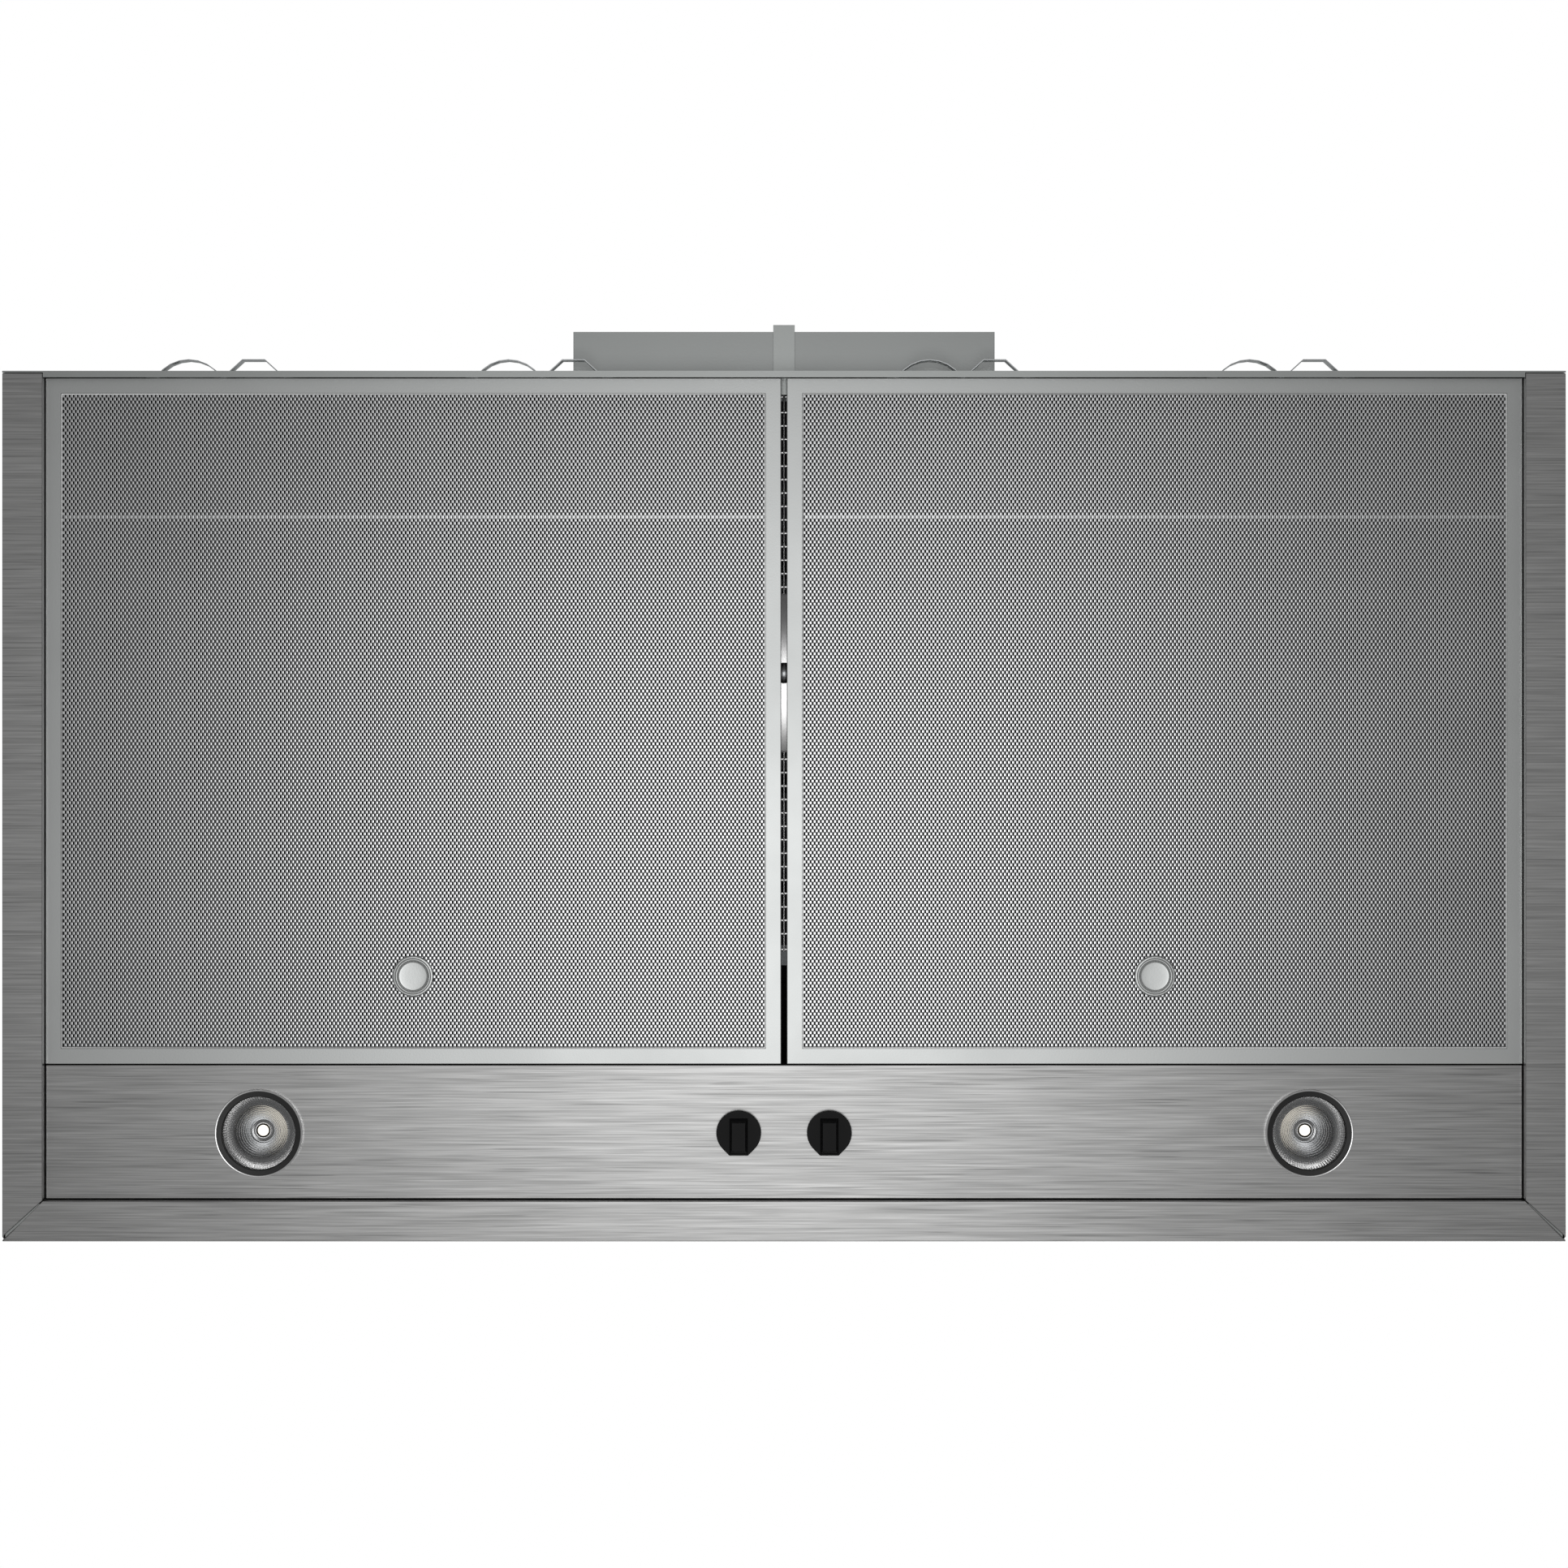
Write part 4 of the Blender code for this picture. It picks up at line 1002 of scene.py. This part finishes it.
@dataclass
class ControlPanel:
    """The front panel that carries the lamps and the knobs."""

    finishes: Finishes

    def dress(self) -> None:
        """Gives the panel and its brackets their finishes."""
        soften(dress("control_panel", self.finishes["brushed_steel_panel"]), 0.35 * MM)
        for side in SIDES:
            soften(dress(f"{side}_panel_bracket", self.finishes["galvanised"]), 0.3 * MM)


@dataclass
class Lamp:
    """A recessed lamp: bezel, faceted reflector, emitter and housing."""

    side: str
    finishes: Finishes
    facets: int = 84
    bulge: float = 0.09 * MM
    cone_end: tuple[float, float] = (4.7, 18.3)
    cone_turns: int = 24
    cone_curve: float = 1.8

    def build(self) -> None:
        """Makes the bezel, the reflector and the emitter again with fine detail."""
        node = f"{self.side}_lamp_reflector"
        low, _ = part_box(node)
        centre = centre_of(node)
        centre.z = low.z
        self._build_reflector(centre)
        self._build_emitter(centre)
        self._build_bezel(centre)

    def dress(self) -> None:
        """Gives the housing its finish."""
        soften(dress(f"{self.side}_lamp_housing", self.finishes["cast_metal"]), 0.4 * MM)

    def _build_reflector(self, centre: Vector) -> None:
        """Three rows of bright facets, then a finely turned cone.

        Args:
            centre: Centre of the cup's mouth.
        """
        bm = bmesh.new()
        rows = ((21.3, 0.05), (19.4, 2.1), (17.5, 4.3), (15.9, 6.4))
        steps = 2 * self.facets
        rings = []
        for row, (radius, height) in enumerate(rows):
            ring = []
            for i in range(steps):
                turn = 2 * math.pi * (i + 0.5 * row) / steps
                reach = radius * MM - self.bulge * (i % 2)
                spot = Vector((reach * math.cos(turn), reach * math.sin(turn), height * MM))
                ring.append(bm.verts.new(centre + spot))
            rings.append(ring)
        for lower, upper in zip(rings, rings[1:]):
            for i in range(steps):
                j = (i + 1) % steps
                bm.faces.new((lower[i], lower[j], upper[j], upper[i]))
        mirror = self.finishes[f"{self.side}_facets"]
        piece = piece_from(
            bm, f"{self.side}_lamp_facets", mirror, "canopy", sharp=4.0
        )
        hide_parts(f"{self.side}_lamp_reflector")
        cone = bmesh.new()
        start, end, turns = rows[-1], self.cone_end, self.cone_turns
        profile = []
        for k in range(turns + 1):
            share = k / turns
            radius = start[0] + (end[0] - start[0]) * share
            height = start[1] + (end[1] - start[1]) * (1 - (1 - share) ** self.cone_curve)
            profile.append((radius * MM, height * MM))
            if k < turns:
                profile.append(((radius - 0.10) * MM, (height + 0.12) * MM))
        lathe(cone, profile, centre, 96, closed=False)
        # The cone's copy of the coating is darkened: painted shade.
        painted_shade_mirror = self.finishes[f"{self.side}_cone"]
        piece_from(cone, f"{self.side}_lamp_cone", painted_shade_mirror, "canopy")

    def _build_emitter(self, centre: Vector) -> None:
        """The glowing chip under a dome, in a black and a bright ring.

        Args:
            centre: Centre of the cup's mouth.
        """
        base = 18.35
        dome = bmesh.new()
        turns = [math.radians(a) for a in range(0, 91, 15)]
        profile = [(3.2 * math.sin(a) * MM, (base - 0.7 * math.cos(a)) * MM) for a in turns]
        lathe(dome, profile, centre, 48, closed=False)
        glow = piece_from(
            dome, f"{self.side}_lamp_dome", self.finishes["emitter_glow"], "canopy"
        )
        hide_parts(f"{self.side}_lamp_emitter")
        for name, inner, outer, height, material, slot in (
            ("seat", 3.2, 4.2, 0.0, "black_plastic", Slot.BLACK_PLASTIC),
            ("clip", 4.2, 5.0, -0.25, "bezel_rim_metal", Slot.DARK_CHROME),
        ):
            ring = bmesh.new()
            top = base + height
            profile = [
                (inner, top + 0.4), (inner, top), (inner + 0.2, top - 0.15),
                (outer - 0.2, top - 0.15), (outer, top), (outer, top + 0.4),
            ]
            lathe(ring, [(r * MM, h * MM) for r, h in profile], centre, 48, closed=True)
            piece_from(ring, f"{self.side}_lamp_{name}", self.finishes[material], "canopy")

    def _build_bezel(self, centre: Vector) -> None:
        """A dark ring with a thin rim whose bright colour is a painted highlight.

        Args:
            centre: Centre of the cup's mouth.
        """
        low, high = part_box(f"{self.side}_lamp_bezel")
        outer = (high.x - low.x) / 2
        depth = high.z - low.z
        rise = low.z - centre.z
        inner = 21.4 * MM
        dark = bmesh.new()
        profile = [
            (inner, rise + depth), (inner, rise + 0.9 * MM), (inner + 0.5 * MM, rise + 0.35 * MM),
            (outer - 0.9 * MM, rise + 0.25 * MM), (outer - 0.55 * MM, rise + 0.5 * MM),
            (outer - 0.55 * MM, rise + depth),
        ]
        lathe(dark, profile, centre, 128, closed=True)
        piece = piece_from(
            dark, f"{self.side}_lamp_trim", self.finishes["bezel_metal"], "canopy"
        )
        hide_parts(f"{self.side}_lamp_bezel")
        bright = bmesh.new()
        profile = [
            (outer - 0.8 * MM, rise + depth), (outer - 0.8 * MM, rise + 0.05 * MM),
            (outer - 0.7 * MM, rise), (outer - 0.08 * MM, rise), (outer, rise + 0.3 * MM),
            (outer, rise + depth),
        ]
        lathe(bright, profile, centre, 128, closed=True)
        # The rim's bright colour is a painted highlight.
        painted_highlight_rim = self.finishes["bezel_rim_metal"]
        piece_from(bright, f"{self.side}_lamp_rim", painted_highlight_rim, "canopy")


@dataclass
class RotaryControl:
    """A knob with its shaft, switch and nut."""

    use: str
    finishes: Finishes

    def dress(self) -> None:
        """Gives the control's nodes their finishes."""
        plastic, metal = self.finishes["black_plastic"], self.finishes["spring_metal"]
        soften(dress(f"{self.use}_knob", plastic), 0.35 * MM, segments=3)
        soften(dress(f"{self.use}_switch", plastic), 0.3 * MM)
        dress(f"{self.use}_shaft", metal)
        soften(dress(f"{self.use}_switch_nut", metal), 0.2 * MM)


@dataclass
class ExpandedSheet:
    """The outer sheet of a filter's expanded metal, as rows of staggered raised islands."""

    side: str
    finishes: Finishes
    pitch: float = 2.4 * MM
    row: float = 1.82 * MM
    half_gap: float = 0.35 * MM
    ridge: float = 0.35 * MM
    flank: float = 0.19
    seam_y: float = 169.6 * MM
    halves: int = 2
    tilt: float = 0.50
    lean: float = 0.06

    def build(
        self, opening: tuple[Vector, Vector], height: float, hole: tuple[float, float, float]
    ) -> None:
        """Makes the sheet in pieces that run from the front to the rear.

        Args:
            opening: Lowest and highest corner of the frame's opening.
            height: Height of the sheet's edge lines.
            hole: Centre and radius of the round opening for the pull.
        """
        low, high = opening
        rows = int((high.y - low.y) / self.row)
        per_piece = math.ceil(rows / self.halves)
        for part in range(self.halves):
            first, last = part * per_piece, min(rows, (part + 1) * per_piece)
            name = f"{self.side}_filter_sheet_{part}"
            mesh = self._mesh(name, low, high, height, range(first, last), hole)
            new_piece(
                name, mesh, self.finishes["mesh_metal"], f"{self.side}_filter"
            )

    def _mesh(
        self,
        name: str,
        low: Vector,
        high: Vector,
        height: float,
        rows: range,
        hole: tuple[float, float, float],
    ) -> bpy.types.Mesh:
        """Makes some rows of islands as one connected mesh.

        Args:
            name: The mesh's name.
            low: Lowest corner of the opening.
            high: Highest corner of the opening.
            height: Height of the edge lines.
            rows: Row numbers, counted from the front.
            hole: Centre and radius of the round opening for the pull.

        Returns:
            The mesh.
        """
        half = self.pitch / 2
        count = int((high.x - low.x) / half) - 1
        lines = len(rows) + 1
        k = np.arange(count + 1)
        middle = low.x + (k + 0.5) * half
        line_x = np.stack([middle - self.half_gap, middle + self.half_gap], 1).ravel()
        first_y = low.y + rows.start * self.row
        edge = np.empty((lines, len(line_x), 3))
        edge[..., 0] = line_x
        edge[..., 1] = (first_y + np.arange(lines) * self.row)[:, None]
        edge[..., 2] = height
        points, faces, normals = [edge.reshape(-1, 3)], [], []
        island = self._island_normals()
        width = len(line_x)
        top_at = edge.shape[0] * edge.shape[1]
        for j, row in enumerate(rows):
            centres = np.arange(1 + row % 2, count, 2)
            middle = low.x + (centres + 0.5) * half
            y = first_y + (j + 0.5) * self.row
            keep = np.hypot(middle - hole[0], y - hole[1]) > hole[2]
            centres, middle = centres[keep], middle[keep]
            seam = abs(y - self.seam_y) < self.row / 2
            reach_x = (0.78 if seam else 0.56) * half
            reach_y = (0.5 - (0.06 if seam else self.flank)) * self.row
            top = np.empty((len(centres), 4, 3))
            top[:, 0, 0] = top[:, 3, 0] = middle - reach_x
            top[:, 1, 0] = top[:, 2, 0] = middle + reach_x
            top[:, :2, 1], top[:, 2:, 1] = y - reach_y, y + reach_y
            top[..., 2] = height - self.ridge
            points.append(top.reshape(-1, 3))
            corner = top_at + 4 * np.arange(len(centres))
            below = j * width + 2 * centres
            above = below + width
            lower = (below - 1, below, below + 1, below + 2, corner + 1, corner)
            upper = (corner + 3, corner + 2, above + 2, above + 1, above, above - 1)
            middle_face = (corner, corner + 1, corner + 2, corner + 3)
            for ring, turned in zip((lower, upper, middle_face), island):
                faces.append(np.stack(ring, 1)[:, ::-1])
                normals.append(np.tile(turned[::-1], (len(centres), 1, 1)))
            top_at += 4 * len(centres)
        points = np.concatenate(points)
        loops = np.concatenate([ring.ravel() for ring in faces])
        sizes = np.concatenate([np.full(len(ring), ring.shape[1]) for ring in faces])
        turned = np.concatenate([block.reshape(-1, 3) for block in normals])
        used = np.zeros(len(points), bool)
        used[loops] = True
        number = np.cumsum(used) - 1
        mesh = bpy.data.meshes.new(name)
        mesh.vertices.add(int(used.sum()))
        mesh.vertices.foreach_set("co", points[used].astype(np.float32).ravel())
        mesh.loops.add(len(loops))
        mesh.loops.foreach_set("vertex_index", number[loops].astype(np.int32))
        mesh.polygons.add(len(sizes))
        starts = np.concatenate([[0], np.cumsum(sizes)[:-1]]).astype(np.int32)
        mesh.polygons.foreach_set("loop_start", starts)
        mesh.update(calc_edges=True)
        mesh.shade_smooth()
        mesh.normals_split_custom_set(turned.tolist())
        return mesh

    def _island_normals(self) -> list[np.ndarray]:
        """Rounded normals at the corners of an island's lower flank, upper flank and top.

        Returns:
            One array of unit vectors for each face.
        """
        tilt, lean = self.tilt, self.lean
        edge = [(-lean, tilt), (-lean / 2, tilt), (lean / 2, tilt), (lean, tilt)]
        flank = [(x, -y) for x, y in edge] + [(0.1, 0), (-0.1, 0)]
        rear = [(-0.1, 0), (0.1, 0)] + edge[::-1]
        top = [(-0.1, 0), (0.1, 0), (0.1, 0), (-0.1, 0)]
        found = []
        for corners in (flank, rear, top):
            vectors = np.array([(x, y, -1.0) for x, y in corners])
            found.append(vectors / np.linalg.norm(vectors, axis=1, keepdims=True))
        return found


@dataclass
class Filter:
    """A hinged mesh filter: frame, mesh pack, pull and springs."""

    side: str
    finishes: Finishes
    border: float = 9.5 * MM
    lap: float = 1.2 * MM
    hem_wire: float = 0.55 * MM
    hem_steps: int = 8

    def build(self) -> None:
        """Makes the outer sheet, the pull and the hem."""
        low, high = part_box(f"{self.side}_filter_frame")
        mesh_low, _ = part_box(f"{self.side}_filter_mesh")
        pull = centre_of(f"{self.side}_filter_pull")
        edge = self.border - self.lap
        opening = (
            Vector((low.x + edge, low.y + edge, low.z)),
            Vector((high.x - edge, high.y - edge, low.z)),
        )
        hole = (pull.x, pull.y, 10.6 * MM)
        ExpandedSheet(self.side, self.finishes).build(opening, mesh_low.z - 0.05 * MM, hole)
        self._build_pull(pull)
        self._build_hem(low, high)

    def dress(self) -> None:
        """Gives the frame and the springs their finishes, and the mesh pack its near-black painted shade."""
        soften(dress(f"{self.side}_filter_frame", self.finishes["filter_frame_metal"]), 0.4 * MM)
        # The CAD mesh pack is kept as near-black painted shade behind the outer sheet.
        dress(f"{self.side}_filter_mesh", self.finishes["mesh_shadow"])
        for place in ("inner", "outer"):
            soften(dress(f"{self.side}_filter_{place}_spring", self.finishes["spring_metal"]), 0.1 * MM)

    def _build_hem(self, low: Vector, high: Vector) -> None:
        """The rolled hem along the inner edge of the frame, in a much lighter colour than the frame's: a
        painted highlight.

        Args:
            low: Lowest corner of the frame's box.
            high: Highest corner of the frame's box.
        """
        wire, steps = self.hem_wire, self.hem_steps
        reach = self.border - 0.1 * MM
        x_ends, y_ends = (low.x + reach, high.x - reach), (low.y + reach, high.y - reach)
        bm = bmesh.new()
        rings = []
        for i, j in ((0, 0), (1, 0), (1, 1), (0, 1)):
            ring = []
            for step in range(steps):
                turn = 2 * math.pi * step / steps
                out, rise = wire * math.cos(turn), wire * math.sin(turn)
                ring.append(bm.verts.new((
                    x_ends[i] + (2 * i - 1) * out, y_ends[j] + (2 * j - 1) * out,
                    low.z + 0.25 * MM + rise,
                )))
            rings.append(ring)
        for first, second in zip(rings, rings[1:] + rings[:1]):
            for step in range(steps):
                after = (step + 1) % steps
                bm.faces.new((first[step], second[step], second[after], first[after]))
        piece_from(
            bm, f"{self.side}_filter_hem", self.finishes["hem_painted_highlight"], f"{self.side}_filter",
            sharp=60.0,
        )

    def _build_pull(self, centre: Vector) -> None:
        """A dished pull with a flange, a raised ring and a rolled rim.

        Args:
            centre: Middle of the CAD pull's box.
        """
        low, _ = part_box(f"{self.side}_filter_pull")
        seat = Vector((centre.x, centre.y, low.z))
        profile = [
            (0.0, 1.22), (4.0, 1.21), (7.0, 1.18), (7.9, 1.15), (8.1, 1.14), (8.5, 1.02), (8.8, 0.62),
            (9.1, 0.22), (9.4, 0.04), (9.9, 0.0), (10.25, 0.12), (10.5, 0.40), (10.7, 0.50), (11.0, 0.46),
            (11.5, 0.48), (11.8, 0.70),
            (12.0, 1.30), (12.0, 2.60), (11.4, 3.20), (4.6, 3.30), (4.6, 5.90), (9.0, 5.90), (9.0, 7.35),
            (0.0, 7.35),
        ]
        points = [(r * MM, h * MM) for r, h in profile]
        bm = bmesh.new()
        lathe(bm, points, seat, 96, closed=False)
        piece = piece_from(
            bm, f"{self.side}_filter_finger_pull", self.finishes["pull_metal"], f"{self.side}_filter",
            sharp=50.0,
        )
        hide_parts(f"{self.side}_filter_pull")


@dataclass
class Blower:
    """Centrifugal blower: wire guard, inlet, housing, wheel and motor."""

    finishes: Finishes
    pitch: float = 8.0 * MM
    hub: float = 47.3 * MM
    spokes: int = 8
    wire: float = 0.75 * MM
    spoke: float = 0.8 * MM
    flatness: float = 0.22

    def build(self) -> None:
        """Makes the full wire guard."""
        low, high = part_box("inlet_guard")
        centre = centre_of("inlet_guard")
        wire, spoke = self.wire, self.spoke
        bm = bmesh.new()
        radius = self.hub + self.pitch / 2
        rim = (high.x - low.x) / 2 - wire
        ring_centre = Vector((centre.x, centre.y, 0))
        while radius < rim - 0.4 * self.pitch:
            self._ring(bm, radius, low.z + wire, wire, ring_centre)
            radius += self.pitch
        self._ring(bm, rim - 0.3 * MM, centre.z, spoke, ring_centre)
        for i in range(self.spokes):
            turn = 2 * math.pi * i / self.spokes
            along = Vector((math.cos(turn), math.sin(turn), 0))
            middle = ring_centre + along * ((self.hub + rim) / 2) + Vector((0, 0, high.z - spoke))
            matrix = Matrix.Translation(middle) @ along.to_track_quat("Z", "X").to_matrix().to_4x4()
            bmesh.ops.create_cone(
                bm, cap_ends=True, segments=12, radius1=spoke, radius2=spoke,
                depth=rim - self.hub + 2 * MM, matrix=matrix,
            )
        thick = high.z - low.z
        plate = [
            (6.2 * MM, 0.0), (self.hub - 1.2 * MM, 0.0), (self.hub, 0.5 * MM), (self.hub, thick),
            (6.2 * MM, thick),
        ]
        lathe(bm, plate, ring_centre + Vector((0, 0, low.z)), 96, closed=True)
        # The guard's near-white colour is painted light for the dimly lit wires.
        piece = piece_from(bm, "inlet_wire_guard", self.finishes["wire_metal_painted_light"], "canopy")
        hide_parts("inlet_guard")
        screw_head(
            "guard_screw", ring_centre + Vector((0, 0, low.z + 0.3 * MM)), Vector((0, 0, -1)), self.finishes,
            radius=6.0 * MM,
        )

    def _ring(
        self, bm: bmesh.types.BMesh, radius: float, height: float, wire: float, centre: Vector
    ) -> None:
        """Adds one ring of flattened wire.

        Args:
            bm: The bmesh that it is added to.
            radius: Radius of the ring.
            height: Height of the wire's middle.
            wire: Half the wire's width.
            centre: Centre of the guard.
        """
        profile = [
            (radius + wire * math.cos(a), height + self.flatness * wire * math.sin(a))
            for a in (2 * math.pi * i / 8 for i in range(8))
        ]
        lathe(bm, profile, centre, 160, closed=True)

    def dress(self) -> None:
        """Gives the blower's nodes their finishes."""
        finishes = {
            "blower_inlet_plate": ("galvanised", 0.2),
            "blower_scroll": ("galvanised", 0.0),
            "blower_top_plate": ("galvanised", 0.2),
            "left_blower_bracket": ("galvanised", 0.2),
            "right_blower_bracket": ("galvanised", 0.2),
            "inlet_ring": ("black_paint", 0.0),
            "motor_body": ("cast_metal", 0.8),
            "motor_capacitor": ("white_plastic", 0.8),
            "motor_shaft": ("spring_metal", 0.2),
            "impeller": ("galvanised", 0.0),
            "impeller_nut": ("spring_metal", 0.3),
        }
        for node, (finish, width) in finishes.items():
            obj = dress(node, self.finishes[finish])
            if width:
                soften(obj, width * MM)


@dataclass
class Electrics:
    """Junction box, its cover and the lamps' driver."""

    finishes: Finishes

    def build(self) -> None:
        """Adds the cover's screws."""
        low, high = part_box("junction_box_cover")
        inset = 7 * MM
        for i, (x, y) in enumerate(((low.x + inset, low.y + inset), (high.x - inset, high.y - inset))):
            screw_head(f"box_screw_{i}", Vector((x, y, low.z)), Vector((0, 0, -1)), self.finishes)

    def dress(self) -> None:
        """Gives the electrical nodes their finishes."""
        soften(dress("junction_box", self.finishes["galvanised"]), 0.3 * MM)
        soften(dress("junction_box_cover", self.finishes["galvanised"]), 0.3 * MM)
        soften(dress("led_driver", self.finishes["white_plastic"]), 0.8 * MM)


@dataclass
class DuctCollar:
    """Rear collar with its strap, pin and two damper flaps."""

    finishes: Finishes

    def build(self) -> None:
        """Adds the screws round the collar, facing out from the rear panel."""
        low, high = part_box("duct_collar")
        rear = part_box("rear_panel")[1].y
        gap = 5 * MM
        for i, x in enumerate(np.linspace(low.x + gap, high.x - gap, 6)):
            for j, z in enumerate((low.z + gap, high.z - gap)):
                if abs(x) < 12 * MM:
                    continue
                place = Vector((x, rear + 1.3 * MM, z))
                screw_head(
                    f"collar_screw_{j}_{i}", place, Vector((0, 1, 0)), self.finishes, radius=3.0 * MM
                )

    def dress(self) -> None:
        """Gives the collar's nodes their finishes."""
        soften(dress("duct_collar", self.finishes["collar_steel"]), 0.3 * MM)
        soften(dress("collar_strap", self.finishes["satin_steel"]), 0.2 * MM)
        dress("damper_pin", self.finishes["spring_metal"])
        for side in SIDES:
            soften(dress(f"{side}_damper_flap", self.finishes["galvanised"]), 0.2 * MM)


def write_sizes() -> None:
    boxes = {"cad": CAD_BOX, "visual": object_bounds()}
    for name, (low, high) in boxes.items():
        LOG.info("%s box: %s mm", name, [round((h - l) / MM, 1) for l, h in zip(low, high)])


def main() -> None:
    """Builds the studio and every sub-assembly in order."""
    logging.basicConfig(level=logging.INFO, format="%(name)s: %(message)s")
    Studio().build()
    finishes = Finishes()
    assemblies = [Canopy(finishes), ControlPanel(finishes)]
    assemblies += [Lamp(side, finishes) for side in SIDES]
    assemblies += [RotaryControl(use, finishes) for use in ("light", "fan")]
    assemblies += [Filter(side, finishes) for side in SIDES]
    assemblies += [Blower(finishes), Electrics(finishes), DuctCollar(finishes)]
    for assembly in assemblies:
        if hasattr(assembly, "build"):
            assembly.build()
        assembly.dress()
        LOG.info("built %s", type(assembly).__name__)
    write_sizes()


if __name__ == "__main__":
    main()
